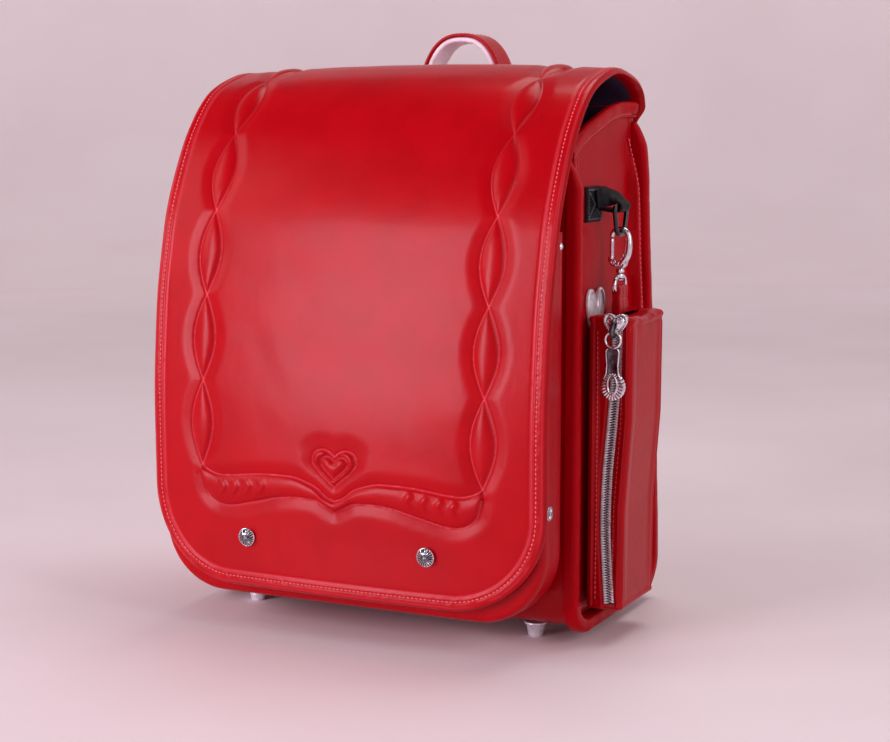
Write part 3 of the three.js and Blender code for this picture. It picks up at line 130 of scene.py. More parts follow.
def inside_line(spots, line):
    """Which spots lie inside a closed line of points."""
    inside = np.zeros(len(spots), bool)
    for start, end in zip(line, np.roll(line, -1, axis=0)):
        spans = (start[1] > spots[:, 1]) != (end[1] > spots[:, 1])
        rise = end[1] - start[1] if end[1] != start[1] else 1e-9
        inside ^= spans & (spots[:, 0] < start[0] + (spots[:, 1] - start[1]) / rise * (end[0] - start[0]))
    return inside


def ripple(place, wavelength, seed):
    """An uneven, repeatable ripple from -1 to 1 along a length."""
    draw = np.random.default_rng(seed)
    total = sum(np.sin(2 * math.pi * place / (wavelength * stretch) + turn)
                for stretch, turn in zip(draw.uniform(0.6, 2.2, 5), draw.uniform(0, 6.3, 5)))
    return total / 5


def make_piece(name, points, faces, finishes, body="bag", slot=None, lined=None, marks=None,
               crisp=50):
    """A piece of the bag from points in millimetres, riding on a body of the frame."""
    mesh = bpy.data.meshes.new(name)
    mesh.from_pydata((np.asarray(points, float) / 1000 + MIDDLE).tolist(), [], faces)
    finishes = finishes if isinstance(finishes, list) else [finishes]
    for finish in finishes:
        mesh.materials.append(finish)
    if lined is not None:
        mesh.polygons.foreach_set("material_index", np.asarray(lined, np.int32))
    for key, values in (marks or {}).items():
        mesh.attributes.new(key, "FLOAT", "POINT").data.foreach_set(
            "value", np.asarray(values, np.float32))
    mesh.calc_loop_triangles()
    corners = np.zeros(len(mesh.loop_triangles) * 3, np.int32)
    mesh.loop_triangles.foreach_get("vertices", corners)
    spots = (np.asarray(points, float) - np.mean(points, axis=0))[corners].reshape(-1, 3, 3)
    if np.einsum("ij,ij->i", spots[:, 0], np.cross(spots[:, 1], spots[:, 2])).sum() < 0:
        mesh.flip_normals()
    mesh.polygons.foreach_set("use_smooth", np.ones(len(mesh.polygons), bool))
    mesh.set_sharp_from_angle(angle=math.radians(crisp))
    piece = bpy.data.objects.new(name, mesh)
    bpy.context.scene.collection.objects.link(piece)
    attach(piece, body)
    return piece


class Thread:
    """A socket in a material. Sums and products of threads add their own nodes."""

    def __init__(self, tree, socket=None):
        self.tree = tree
        self.socket = socket

    def node(self, kind, settings=None, inputs=None, output=0):
        made = self.tree.nodes.new(kind)
        for key, value in (settings or {}).items():
            if key == "stops":
                made.color_ramp.elements[0].position, made.color_ramp.elements[0].color = value[0]
                made.color_ramp.elements[1].position, made.color_ramp.elements[1].color = value[-1]
                for position, colour in value[1:-1]:
                    made.color_ramp.elements.new(position).color = colour
            else:
                setattr(made, key, value)
        for key, value in (inputs or {}).items():
            self.feed(made.inputs[key], value)
        return Thread(self.tree, made.outputs[output])

    def feed(self, socket, value):
        if isinstance(value, Thread):
            self.tree.links.new(value.socket, socket)
        else:
            socket.default_value = value

    def math(self, operation, *values):
        return self.node("ShaderNodeMath", {"operation": operation}, dict(enumerate(values)))

    def __add__(self, other):
        return self.math("ADD", self, other)

    def __radd__(self, other):
        return self.math("ADD", other, self)

    def __sub__(self, other):
        return self.math("SUBTRACT", self, other)

    def __rsub__(self, other):
        return self.math("SUBTRACT", other, self)

    def __mul__(self, other):
        return self.math("MULTIPLY", self, other)

    def __rmul__(self, other):
        return self.math("MULTIPLY", other, self)

    def slope(self, low, high):
        return self.node("ShaderNodeMapRange", {"interpolation_type": "SMOOTHSTEP"},
                         {"Value": self, "From Min": low, "From Max": high})

    def tint(self, low, high):
        return self.node("ShaderNodeMix", {"data_type": "RGBA"}, {0: self, 6: low, 7: high}, 2)

    def place(self):
        return self.node("ShaderNodeTexCoord", output="Object")

    def noise(self, scale, detail=3.0, roughness=0.5):
        return self.node("ShaderNodeTexNoise", None, {
            "Vector": self.place(), "Scale": scale, "Detail": detail, "Roughness": roughness})

    def cells(self, scale, feature="F1"):
        return self.node("ShaderNodeTexVoronoi", {"feature": feature}, {
            "Vector": self.place(), "Scale": scale})

    def mark(self, key):
        return self.node("ShaderNodeAttribute", {"attribute_name": key}, output="Fac")

    def bump(self, height, depth, strength=1.0, under=None):
        inputs = {"Height": height, "Distance": depth, "Strength": strength}
        if under is not None:
            inputs["Normal"] = under
        return self.node("ShaderNodeBump", None, inputs)


def finish(name, shade, **fixed):
    """A material: fixed numbers on the shader's own sockets, and what shade gives for the rest."""
    material = bpy.data.materials.new(name)
    material.use_nodes = True
    tree = material.node_tree
    shader = tree.nodes["Principled BSDF"]
    for key, value in fixed.items():
        shader.inputs[key.replace("_", " ")].default_value = value
    thread = Thread(tree)
    for key, value in shade(thread).items():
        thread.feed(shader.inputs[key], value)
    return material


def coloured(red, green, blue):
    """A colour as it is seen on a screen, from 0 to 255, as the renderer's own numbers."""
    return tuple(((v / 255 + 0.055) / 1.055) ** 2.4 if v > 10 else v / 255 / 12.92
                 for v in (red, green, blue)) + (1.0,)


def leather_shade(thread):
    cloudy = thread.noise(38.0, 4.0)
    pores = thread.cells(1500.0)
    waves = thread.noise(160.0, 2.0)
    crease = thread.mark("crease")
    clean = cloudy.slope(0.3, 0.7).tint(coloured(160, 0, 13), coloured(168, 1, 15))
    # Painted highlight: the crease mark tints the leather pale pink along creases, borders and seams, like
    # light catching their edges.
    wear_and_painted_highlight = (0.55 * crease).tint(clean, coloured(236, 84, 98))
    return {
        "Base Color": wear_and_painted_highlight,
        "Roughness": 0.25 + 0.04 * cloudy + 0.05 * crease + 0.05 * pores,
        "Normal": thread.bump(pores, 0.00004, 0.35, thread.bump(waves, 0.00035, 0.3)),
    }


def lining_shade(thread):
    threads = thread.cells(900.0)
    folds = thread.noise(45.0, 3.0)
    return {
        "Base Color": folds.slope(0.3, 0.7).tint(coloured(46, 26, 52), coloured(70, 44, 78)),
        "Roughness": 0.62 + 0.2 * threads,
        "Normal": thread.bump(threads, 0.00012, 0.5, thread.bump(folds, 0.002, 0.5)),
    }


def thread_shade(thread):
    twist = thread.noise(2600.0, 2.0)
    return {
        "Base Color": twist.slope(0.35, 0.65).tint(coloured(198, 30, 44), coloured(236, 104, 112)),
        "Roughness": 0.5 + 0.2 * twist,
        "Normal": thread.bump(twist, 0.00008, 0.6),
    }


red_leather = finish("red leather", leather_shade, Specular_IOR_Level=0.12, Coat_Weight=0.03,
                     Coat_Roughness=0.12)
purple_lining = finish("purple lining", lining_shade)
red_thread = finish("red thread", thread_shade)


def ring_faces(rings, count, loose=False):
    """The faces of a body built of closed rings of points. A loose one closes on itself, and any
    other has a cap at each end."""
    at = np.arange(rings * count).reshape(rings, count)
    after, beyond = np.roll(at, -1, axis=0), np.roll(at, -1, axis=1)
    quads = np.stack([at, beyond, np.roll(after, -1, axis=1), after], -1)
    if loose:
        return quads.reshape(-1, 4).tolist()
    return quads[:-1].reshape(-1, 4).tolist() + [at[0].tolist()[::-1], at[-1].tolist()]


def stitch_row(name, line, outward, pitch, thickness, colour=None, dip=0.35):
    """A row of stitches along a line: each is a short bent lens of thread, half sunk in."""
    line = np.asarray(line, float)
    steps = np.concatenate([[0], np.cumsum(np.linalg.norm(np.diff(line, axis=0), axis=1))])
    count = max(1, int(steps[-1] / pitch))
    stops = (np.arange(count) + 0.5) * steps[-1] / count
    at = lambda values: np.column_stack([np.interp(stops, steps, values[:, k]) for k in range(3)])
    centre, out = at(line), unit(at(np.asarray(outward, float)))
    run = unit(at(ways(line)))
    side = unit(np.cross(run, out))
    rings, sides = 5, 6
    shares = np.linspace(-1, 1, rings)
    girths = np.sqrt(1 - (0.92 * shares) ** 2)
    turn = 2 * math.pi * np.arange(sides) / sides
    half = 0.40 * pitch
    shape = np.array([(share * half, girth * thickness / 2 * math.cos(a),
                       girth * thickness / 2 * math.sin(a) * 0.8 - dip * thickness * share * share)
                      for share, girth in zip(shares, girths) for a in turn])
    points = (centre[:, None, :] + shape[None, :, :1] * run[:, None, :]
              + shape[None, :, 1:2] * side[:, None, :] + shape[None, :, 2:] * out[:, None, :])
    faces = ring_faces(rings, sides)
    every = [tuple(corner + n * rings * sides for corner in face)
             for n in range(count) for face in faces]
    return make_piece(name, points.reshape(-1, 3), every, colour or red_thread)


# The scroll, the heart and the drops, measured across from the middle and up from the flap's edge.
CHAIN_OFFSET, CHAIN_HALF, CHAIN_START, CHAIN_PITCH, CHAIN_LENSES = 93.6, 7.7, 72.3, 51.5, 6
SCROLL_ACROSS = [0, 6, 12, 19, 28, 40, 50, 60, 72, 82, 90, 93.6]
SCROLL_UPPER = [58, 60.4, 65, 67.9, 70.2, 70.4, 70, 69, 67.4, 67.1, 69.6, 72.3]
SCROLL_LOWER = [51.3, 54.3, 57.3, 58.1, 58.1, 56.6, 54, 51.6, 49, 49.6, 55, 66]
HEART_HALF, HEART_TIP, HEART_SHOULDER, HEART_NOTCH, HEART_TOP = 14.75, 66.7, 81.1, 84.2, 88.3
DROPS = [(49.5, 63.3), (59.2, 62.1), (68.7, 61.1), (77.4, 60.3)]
LENS_RISE, SCROLL_RISE, RING_RISE, HEART_RISE = 2.6, 2.5, 2.2, 2.7
DITCH_WIDTH, DITCH_DEPTH = 7.2, 1.5

heart_half = spline([(0, HEART_TIP), (5.6, HEART_TIP + 4.6), (11.4, HEART_TIP + 9.6),
                     (HEART_HALF, HEART_SHOULDER), (13.6, 85.7), (8.6, HEART_TOP), (3.2, 86.9),
                     (0, HEART_NOTCH)], 26)
heart_line = np.vstack([heart_half, (heart_half * (-1, 1))[::-1]])
HEART_MIDDLE = np.array([0, 78.6])
inner_heart = HEART_MIDDLE + 0.6 * (heart_line - HEART_MIDDLE)
scroll_upper = spline(list(zip(SCROLL_ACROSS, SCROLL_UPPER)), 70)
scroll_lower = spline(list(zip(SCROLL_ACROSS, SCROLL_LOWER)), 70)


def emboss(x, along):
    """Height of the pressed pattern, how much a spot is in a crease, and how near one it lies."""
    across = np.abs(x)
    beside = across - CHAIN_OFFSET
    phase = (along - CHAIN_START) / CHAIN_PITCH
    chain = (phase >= 0) & (phase <= CHAIN_LENSES)
    wave = np.sin(math.pi * phase)
    swell = np.abs(wave)
    lean = np.sqrt(1 + (CHAIN_HALF * math.pi / CHAIN_PITCH * np.cos(math.pi * phase)) ** 2)
    crease_far = np.where(chain, np.abs(np.abs(beside) - CHAIN_HALF * swell) / lean, 99)
    half = np.maximum(CHAIN_HALF * swell, 0.01)
    pillow = np.where(chain, np.clip(1 - (beside / half) ** 2, 0, 1) ** 0.7 * swell ** 0.6, 0)
    beyond_chain = np.maximum(np.maximum(-phase, phase - CHAIN_LENSES), 0) * CHAIN_PITCH
    chain_far = np.where(chain, np.where(np.abs(beside) > half, crease_far, 0),
                         np.hypot(beside, beyond_chain))
    near = (along < 110) & (across < 112)
    spots = np.column_stack([across, along])[near]
    upper = np.interp(across, scroll_upper[:, 0], scroll_upper[:, 1])
    lower = np.interp(across, scroll_lower[:, 0], scroll_lower[:, 1])
    upper_far, lower_far, heart_far, inner_far = (np.full(len(x), 99.0) for _ in range(4))
    upper_far[near] = line_distance(spots, scroll_upper)
    lower_far[near] = line_distance(spots, scroll_lower)
    heart_far[near] = line_distance(spots, heart_line)
    inner_far[near] = line_distance(spots, inner_heart)
    in_ribbon = near & (along > lower) & (along < upper) & (across < CHAIN_OFFSET)
    in_heart, in_inner = np.zeros(len(x), bool), np.zeros(len(x), bool)
    in_heart[near] = inside_line(spots, heart_line)
    in_inner[near] = inside_line(spots, inner_heart)
    share = np.clip((along - lower) / np.maximum(upper - lower, 1), 0, 1)
    ribbon = np.where(in_ribbon, np.sqrt(np.clip(4 * share * (1 - share), 0, 1)), 0)
    ribbon_far = np.where(in_ribbon, 0, np.minimum(upper_far, lower_far))
    stretch = 1 + 0.5 * smooth(along, 82, 90)
    outside_far = np.minimum.reduce([chain_far, ribbon_far, np.where(in_heart, 0, heart_far) / stretch])
    sunk = np.clip(1 - outside_far / DITCH_WIDTH, 0, 1)
    ring = np.where(in_heart & ~in_inner, np.minimum(heart_far, inner_far) / 2.6, 0)
    dome = np.where(in_inner, np.sqrt(np.clip(inner_far / 5, 0, 1)), 0)
    drop = np.zeros(len(x))
    for middle, level in DROPS:
        tail = np.array([(middle + 0.4, level + 2.2), (middle - 1.5, level), (middle - 0.6, level - 2.2),
                         (middle + 1.4, level - 4.0)])
        close = near & (np.abs(across - middle) < 6) & (np.abs(along - level) < 9)
        if close.any():
            spot = np.column_stack([across, along])[close]
            size = 0.7 + 1.3 * smooth(spot[:, 1], level - 4, level + 2.5)
            drop[close] = np.maximum(drop[close], 1 - smooth(line_distance(spot, tail) / size, 0.35, 1.3))
    height = (LENS_RISE * pillow + SCROLL_RISE * ribbon + RING_RISE * np.clip(ring, 0, 1) ** 0.5
              + HEART_RISE * dome - DITCH_DEPTH * sunk * smooth(sunk, 0, 0.25))
    faint = 1 - 0.72 * smooth(phase, 2.9, 3.5)
    crease_far = np.minimum.reduce([crease_far, upper_far, lower_far, heart_far, inner_far])
    crease = faint * np.exp(-(crease_far / 0.75) ** 2)
    return height - 0.5 * crease + 0.9 * drop, faint * np.exp(-(crease_far / 0.42) ** 2), crease_far


flap_edge_line = np.column_stack([FLAP_FRONT_Y + FLAP_LINE[:, 1] * FLAP_DEPTH,
                                  FLAP_LINE[:, 0] * BAG_HEIGHT])


def back_line_y(z):
    """How far back the body reaches at a height."""
    share = np.interp(np.asarray(z) / BAG_HEIGHT, BACK_LINE[:, 0], BACK_LINE[:, 1])
    return BODY_FRONT_Y + BODY_DEPTH * share


tail_heights = np.linspace(FLAP_TAIL_TOP_Z, FLAP_TAIL_Z, 5)
tail_line = np.column_stack([back_line_y(tail_heights) + FLAP_THICKNESS, tail_heights])
flap_side = spline(np.vstack([flap_edge_line, tail_line]), 900)
FLAP_LENGTH = line_length(flap_side)
flap_stops = np.linspace(0, FLAP_LENGTH, len(flap_side))
flap_ways = ways(flap_side)
smoothing = np.ones(9) / 9
for axis in (0, 1):
    padded_way = np.pad(flap_ways[:, axis], 4, mode="edge")
    flap_ways[:, axis] = np.convolve(padded_way, smoothing, mode="valid")


def flap_place(x, along):
    """The plain bent panel under the pattern: the spot, its outward way and its crown."""
    y = np.interp(along, flap_stops, flap_side[:, 0])
    z = np.interp(along, flap_stops, flap_side[:, 1])
    out = unit(np.column_stack([-np.interp(along, flap_stops, flap_ways[:, 1]),
                                np.interp(along, flap_stops, flap_ways[:, 0])]))
    over = 1 - smooth(y, FLAP_FRONT_Y + 0.7 * FLAP_DEPTH, FLAP_FRONT_Y + 0.95 * FLAP_DEPTH)
    level = np.interp(z / BAG_HEIGHT, CROWN_LINE[:, 0], CROWN_LINE[:, 1])
    crown = over * FLAP_CROWN * level * (1 - np.clip(np.abs(2 * x / FLAP_WIDTH), 0, 1) ** 2.2)
    return np.column_stack([x, y, z]), np.column_stack([np.zeros(len(x)), out]), crown


def flap_from_edge(x, along):
    """How far a spot of the flap lies in from its edge."""
    side = flap_half_width(along) - np.abs(x)
    edge = np.minimum(np.minimum(side, along), FLAP_LENGTH - along)
    core = FLAP_WIDTH / 2 - FLAP_CORNER
    corner = (np.abs(x) > core) & (along < FLAP_CORNER)
    round_edge = FLAP_CORNER - np.hypot(np.abs(x) - core, FLAP_CORNER - along)
    return np.where(corner, round_edge, edge)


def flap_half_width(along):
    """Half the flap's width: its tail behind the top is narrower."""
    tail = FLAP_TAIL_TOP_Z - FLAP_TAIL_Z
    narrow = smooth(FLAP_LENGTH - along, tail + 7, tail + 20)
    return (FLAP_TAIL_WIDTH + (FLAP_WIDTH - FLAP_TAIL_WIDTH) * narrow) / 2


def flap_surface(x, along):
    """The flap's outside, how much of it is painted with crease highlight, and its outward way."""
    spot, out, crown = flap_place(x, along)
    height, crease, _ = emboss(x, along)
    edge = flap_from_edge(x, along)
    round_off = 2.0 * (1 - np.sqrt(np.clip(1 - (1 - np.clip(edge / 2.4, 0, 1)) ** 2, 0, 1)))
    border = np.exp(-((edge - 8.5) / 0.8) ** 2)
    puff = 0.5 * smooth(edge, 0, 2.5) * (1 - smooth(edge, 7.2, 8.6))
    around = along + FLAP_WIDTH / 2 - np.abs(x)
    pucker = 0.16 * ripple(around, 5.2, 3) * smooth(edge, 0.5, 4) * (1 - smooth(edge, 8, 11))
    stitched = np.exp(-((edge - FLAP_STITCH_IN) / 0.9) ** 2)
    soft = 0.5 * ripple(along + 0.7 * x, 46, 11) * smooth(edge, 9, 40) * ripple(x - 0.4 * along, 60, 5)
    lift = crown + height + puff + pucker + soft - 0.55 * border - 0.35 * stitched - round_off
    # Painted highlight: the border line and a thin line 2.3 mm in from the edge are added to the crease mark,
    # the second as colour only.
    hem = 0.4 * np.exp(-((edge - 2.3) / 0.45) ** 2)
    return spot + out * lift[:, None], np.clip(crease + 0.55 * border + hem, 0, 1), out


def corner_round(x, along):
    """Moves the lower corners of a straight grid on to the flap's round corners."""
    core = FLAP_WIDTH / 2 - FLAP_CORNER
    p = np.clip((np.abs(x) - core) / FLAP_CORNER, 0, 1)
    q = np.clip((FLAP_CORNER - along) / FLAP_CORNER, 0, 1)
    moved_x = np.where((p > 0) & (q > 0), core + FLAP_CORNER * p * np.sqrt(1 - q * q / 2), np.abs(x))
    moved_along = np.where((p > 0) & (q > 0), FLAP_CORNER * (1 - q * np.sqrt(1 - p * p / 2)), along)
    share = moved_x / (FLAP_WIDTH / 2)
    return np.sign(x) * share * flap_half_width(moved_along), moved_along


def graded_cells(wanted):
    """Cells of a grid that is finer where it is wanted: 8, 4, 2 or 1 steps wide, each as a ring of
    lattice points that takes in the middle of an edge where its neighbour is finer."""
    columns, rows = wanted.shape
    block = lambda grid: grid.reshape(grid.shape[0] // 2, 2, grid.shape[1] // 2, 2).any(axis=(1, 3))

    def spread(grid):
        grown = grid.copy()
        for dx in (-1, 0, 1):
            for dy in (-1, 0, 1):
                padded_grid = np.pad(grid, 1)
                grown |= padded_grid[1 + dx:1 + dx + grid.shape[0], 1 + dy:1 + dy + grid.shape[1]]
        return grown

    split_two = block(wanted >= 3)
    split_four = block(spread(split_two) | block(wanted >= 2))
    split_eight = block(spread(split_four) | block(block(wanted >= 1)))
    grow = lambda grid: np.repeat(np.repeat(grid, 2, axis=0), 2, axis=1)
    live_four = grow(split_eight)
    live_two = grow(split_four & live_four)
    live_one = grow(split_two & live_two)
    leaves = [(8, ~split_eight), (4, live_four & ~split_four), (2, live_two & ~split_two), (1, live_one)]
    used = np.zeros((columns + 1, rows + 1), bool)
    found = []
    for size, grid in leaves:
        for i, j in np.argwhere(grid) * size:
            found.append((i, j, size))
            used[i, j] = used[i + size, j] = used[i, j + size] = used[i + size, j + size] = True
    number = np.full(used.shape, -1)
    number[used] = np.arange(used.sum())
    rings = []
    for i, j, size in found:
        half = size // 2
        ring = []
        for a, b, c, d in ((i, j, i + half, j), (i + size, j, i + size, j + half),
                           (i + size, j + size, i + half, j + size), (i, j + size, i, j + half)):
            ring.append(number[a, b])
            if half and used[c, d]:
                ring.append(number[c, d])
        rings.append(tuple(int(n) for n in ring))
    return np.argwhere(used), rings, number


# The flap's grid: fine cells along the creases and the border, and wide ones on the plain leather.
FLAP_COLUMNS = 480
FINE = FLAP_WIDTH / FLAP_COLUMNS
flap_rows = int(round(FLAP_LENGTH / FINE / 8)) * 8
cell_x, cell_along = np.meshgrid((np.arange(FLAP_COLUMNS) + 0.5) * FINE - FLAP_WIDTH / 2,
                                 (np.arange(flap_rows) + 0.5) * FLAP_LENGTH / flap_rows, indexing="ij")
mid_x, mid_along = corner_round(cell_x.ravel(), cell_along.ravel())
_, _, crease_near = emboss(mid_x, mid_along)
edge_near = flap_from_edge(mid_x, mid_along)
fine_wanted = np.zeros(len(mid_x), int)
fine_wanted[(np.abs(np.abs(mid_x) - CHAIN_OFFSET) < 20) & (mid_along < 400)] = 1
fine_wanted[(mid_along > 34) & (mid_along < 102) & (np.abs(mid_x) < 112)] = 1
fine_wanted[(crease_near < 3.2) | (np.abs(edge_near - 7) < 3.0)] = 2
fine_wanted[(mid_along > 52) & (mid_along < 72) & (np.abs(np.abs(mid_x) - 64) < 20)] = 2
fine_wanted[(crease_near < 0.8)] = 3
fine_wanted = fine_wanted.reshape(cell_x.shape)
rim_band = np.zeros(fine_wanted.shape, bool)
rim_band[:4, :] = rim_band[-4:, :] = rim_band[:, :4] = rim_band[:, -4:] = True
fine_wanted[rim_band] = np.clip(fine_wanted[rim_band], 2, 2)
plain_wanted = np.where(rim_band, 2, 0)


def lattice_place(lattice):
    """Where the points of the lattice lie across and along the flap."""
    x = lattice[:, 0] * FINE - FLAP_WIDTH / 2
    return corner_round(x, lattice[:, 1] * FLAP_LENGTH / flap_rows)


outer_lattice, outer_cells, outer_number = graded_cells(fine_wanted)
inner_lattice, inner_cells, inner_number = graded_cells(plain_wanted)
outer_x, outer_along = lattice_place(outer_lattice)
outer_points, outer_crease, _ = flap_surface(outer_x, outer_along)
inner_x, inner_along = lattice_place(inner_lattice)
inner_spot, inner_out, inner_crown = flap_place(inner_x, inner_along)
inner_edge = flap_from_edge(inner_x, inner_along)
inner_lift = inner_crown - FLAP_THICKNESS + 1.2 * (1 - smooth(inner_edge, 0, 3))
inner_points = inner_spot + inner_out * inner_lift[:, None]
shift = len(outer_points)
border_steps = np.concatenate([
    np.column_stack([np.arange(0, FLAP_COLUMNS, 2), np.zeros(FLAP_COLUMNS // 2, int)]),
    np.column_stack([np.full(flap_rows // 2, FLAP_COLUMNS), np.arange(0, flap_rows, 2)]),
    np.column_stack([np.arange(FLAP_COLUMNS, 0, -2), np.full(FLAP_COLUMNS // 2, flap_rows)]),
    np.column_stack([np.zeros(flap_rows // 2, int), np.arange(flap_rows, 0, -2)])])
edge_outer = outer_number[border_steps[:, 0], border_steps[:, 1]]
edge_inner = inner_number[border_steps[:, 0], border_steps[:, 1]] + shift
edge_faces = [(int(a), int(b), int(c), int(d)) for a, b, c, d in
              zip(edge_outer, edge_inner, np.roll(edge_inner, -1), np.roll(edge_outer, -1))]
flap = make_piece(
    "padded_flap", np.vstack([outer_points, inner_points]),
    outer_cells + [tuple(n + shift for n in cell[::-1]) for cell in inner_cells] + edge_faces,
    [red_leather, purple_lining], slot="red_leather",
    lined=[0] * len(outer_cells) + [int(np.mean(inner_edge[list(cell)]) > 9) for cell in inner_cells]
    + [0] * len(edge_faces),
    marks={"crease": np.concatenate([outer_crease, np.zeros(len(inner_points))])}, crisp=60)
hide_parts("flap")

# The row of stitches follows the border from behind the top, down one side and up the other.
core = FLAP_WIDTH / 2 - FLAP_CORNER
bend = np.linspace(0, math.pi / 2, 40)
side_run = np.linspace(FLAP_LENGTH - 62, FLAP_CORNER, 180)
stitch_x = np.concatenate([-np.full(180, FLAP_WIDTH / 2 - FLAP_STITCH_IN),
                           -core - (FLAP_CORNER - FLAP_STITCH_IN) * np.cos(bend), np.linspace(-core, 0, 30)])
stitch_along = np.concatenate([side_run, FLAP_CORNER - (FLAP_CORNER - FLAP_STITCH_IN) * np.sin(bend),
                               np.full(30, FLAP_STITCH_IN)])
stitch_x = np.concatenate([stitch_x, -stitch_x[::-1]])
stitch_along = np.concatenate([stitch_along, stitch_along[::-1]])
stitch_points, _, stitch_out = flap_surface(stitch_x, stitch_along)
stitch_row("flap_stitches", stitch_points + 0.16 * stitch_out, stitch_out, 2.7, 0.95)

# The body is one stiff sheet of leather over board that runs down the front, under the floor and up
# the back, between the two side walls. Its inside is lined in the same purple cloth as the flap.
LEATHER = 2.4
PANEL_X = 125.0
FLOOR_Z, FRONT_WALL_TOP, BACK_WALL_TOP = 9.6, 281.0, 318.0
FRONT_CORNER, BACK_CORNER = 26.0, 24.0


def arc(centre_a, centre_b, radius, start, end, count):
    """Points along an arc, from one angle to another."""
    turn = np.linspace(start, end, count)
    return np.column_stack([centre_a + radius * np.cos(turn), centre_b + radius * np.sin(turn)])


def body_line(inset, floor_z, front_top, back_top, step=3.0):
    """The side view of the body from the top of its front, under the floor, to the top of its back."""
    front, front_round, back_round = BODY_FRONT_Y + inset, FRONT_CORNER - inset, BACK_CORNER - inset
    foot = floor_z + back_round
    back = float(back_line_y(foot)) - inset
    rise = np.linspace(foot, back_top, 40)[1:]
    line = np.vstack([
        [(front, z) for z in np.linspace(front_top, floor_z + front_round, 30)[:-1]],
        arc(front + front_round, floor_z + front_round, front_round, math.pi, 1.5 * math.pi, 14)[:-1],
        [(y, floor_z) for y in np.linspace(front + front_round, back - back_round, 20)[:-1]],
        arc(back - back_round, foot, back_round, 1.5 * math.pi, 2 * math.pi, 14),
        np.column_stack([back_line_y(rise) - inset, rise])])
    return spline(line, int(line_length(line) / step))


def to_left(line, distance):
    """The line moved sideways, to the left of the way it runs."""
    run = ways(line)
    return line + distance * np.column_stack([-run[:, 1], run[:, 0]])


def sheet_piece(name, outer, inner, finishes, inner_lined=False, **more):
    """A closed sheet between an outer and an inner grid of points."""
    rows, columns = outer.shape[:2]
    shift = rows * columns
    at = np.arange(shift).reshape(rows, columns)
    quads = np.stack([at[:-1, :-1], at[:-1, 1:], at[1:, 1:], at[1:, :-1]], -1).reshape(-1, 4)
    faces = quads.tolist() + (quads[:, ::-1] + shift).tolist()
    loop = np.concatenate([at[0, :-1], at[:-1, -1], at[-1, :0:-1], at[:0:-1, 0]])
    edge = np.column_stack([loop, loop + shift, np.roll(loop, -1) + shift, np.roll(loop, -1)])
    faces += edge.tolist()
    lined = [0] * len(quads) + [1 if inner_lined else 0] * len(quads) + [0] * len(edge)
    points = np.vstack([outer.reshape(-1, 3), inner.reshape(-1, 3)])
    for key, values in more.get("marks", {}).items():
        more["marks"][key] = np.concatenate([np.ravel(values), np.zeros(shift)])
    return make_piece(name, points, faces, finishes, lined=lined, **more)


outside = body_line(BODY_INSET, FLOOR_Z, FRONT_WALL_TOP, BACK_WALL_TOP)
inside = to_left(outside, LEATHER)
body_x = np.linspace(-PANEL_X + 0.1, PANEL_X - 0.1, 60)


def bent_grid(line, xs, relief=0.0):
    """A grid that carries a side view line across the bag's width."""
    run = ways(line)
    out = np.column_stack([run[:, 1], -run[:, 0]])
    lift = np.broadcast_to(relief, (len(line), len(xs)))
    y = line[:, None, 0] + out[:, None, 0] * lift
    z = line[:, None, 1] + out[:, None, 1] * lift
    return np.stack([np.broadcast_to(xs, y.shape), y, z], -1)


body_relief = 0.25 * ripple(np.arange(len(outside))[:, None] * 3.0 + 0.6 * body_x[None, :], 55, 21)
body = sheet_piece("body_sheet", bent_grid(outside, body_x, body_relief), bent_grid(inside, body_x),
                   [red_leather, purple_lining], inner_lined=True, slot="red_leather")
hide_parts("main_compartment")

# Each side wall is a leather panel lined in purple. A padded roll frames it, with a stitched strip
# just inside the roll, and its upper edge is bound by a stitched band.
SIDE_TOP = np.array([(0.0, 0.0), (0.12, 0.34), (0.21, 0.52), (0.3, 0.655), (0.39, 0.8), (0.48, 0.915),
                     (0.56, 0.975), (0.65, 1.0), (0.75, 1.0)])
SIDE_TOP_FRONT_Z, SIDE_TOP_RISE, SIDE_TOP_REAR_Z = 290.0, 29.0, 319.0
RIM_BAND, RIM_THICKNESS = 9.0, 7.7
RIM_FLOOR_Z, RIM_FRONT_TOP, RIM_BACK_TOP = 6.0, 284.1, 308.5
STRIP_STITCH_IN, STRIP_RISE = 14.2, 4.2
PANEL_CLEARANCE = 0.3
side_leather = finish("side leather", leather_shade, Specular_IOR_Level=0.05)
rim_line = body_line(0, RIM_FLOOR_Z, RIM_FRONT_TOP, RIM_BACK_TOP, 2.0)
panel_edge = body_line(0, RIM_FLOOR_Z, RIM_FRONT_TOP, 322.0, 4.0)


def side_top_z(y):
    """How high a side wall reaches at a depth."""
    share = np.interp((y - BODY_FRONT_Y) / BODY_DEPTH, SIDE_TOP[:, 0], SIDE_TOP[:, 1])
    return SIDE_TOP_FRONT_Z + SIDE_TOP_RISE * share


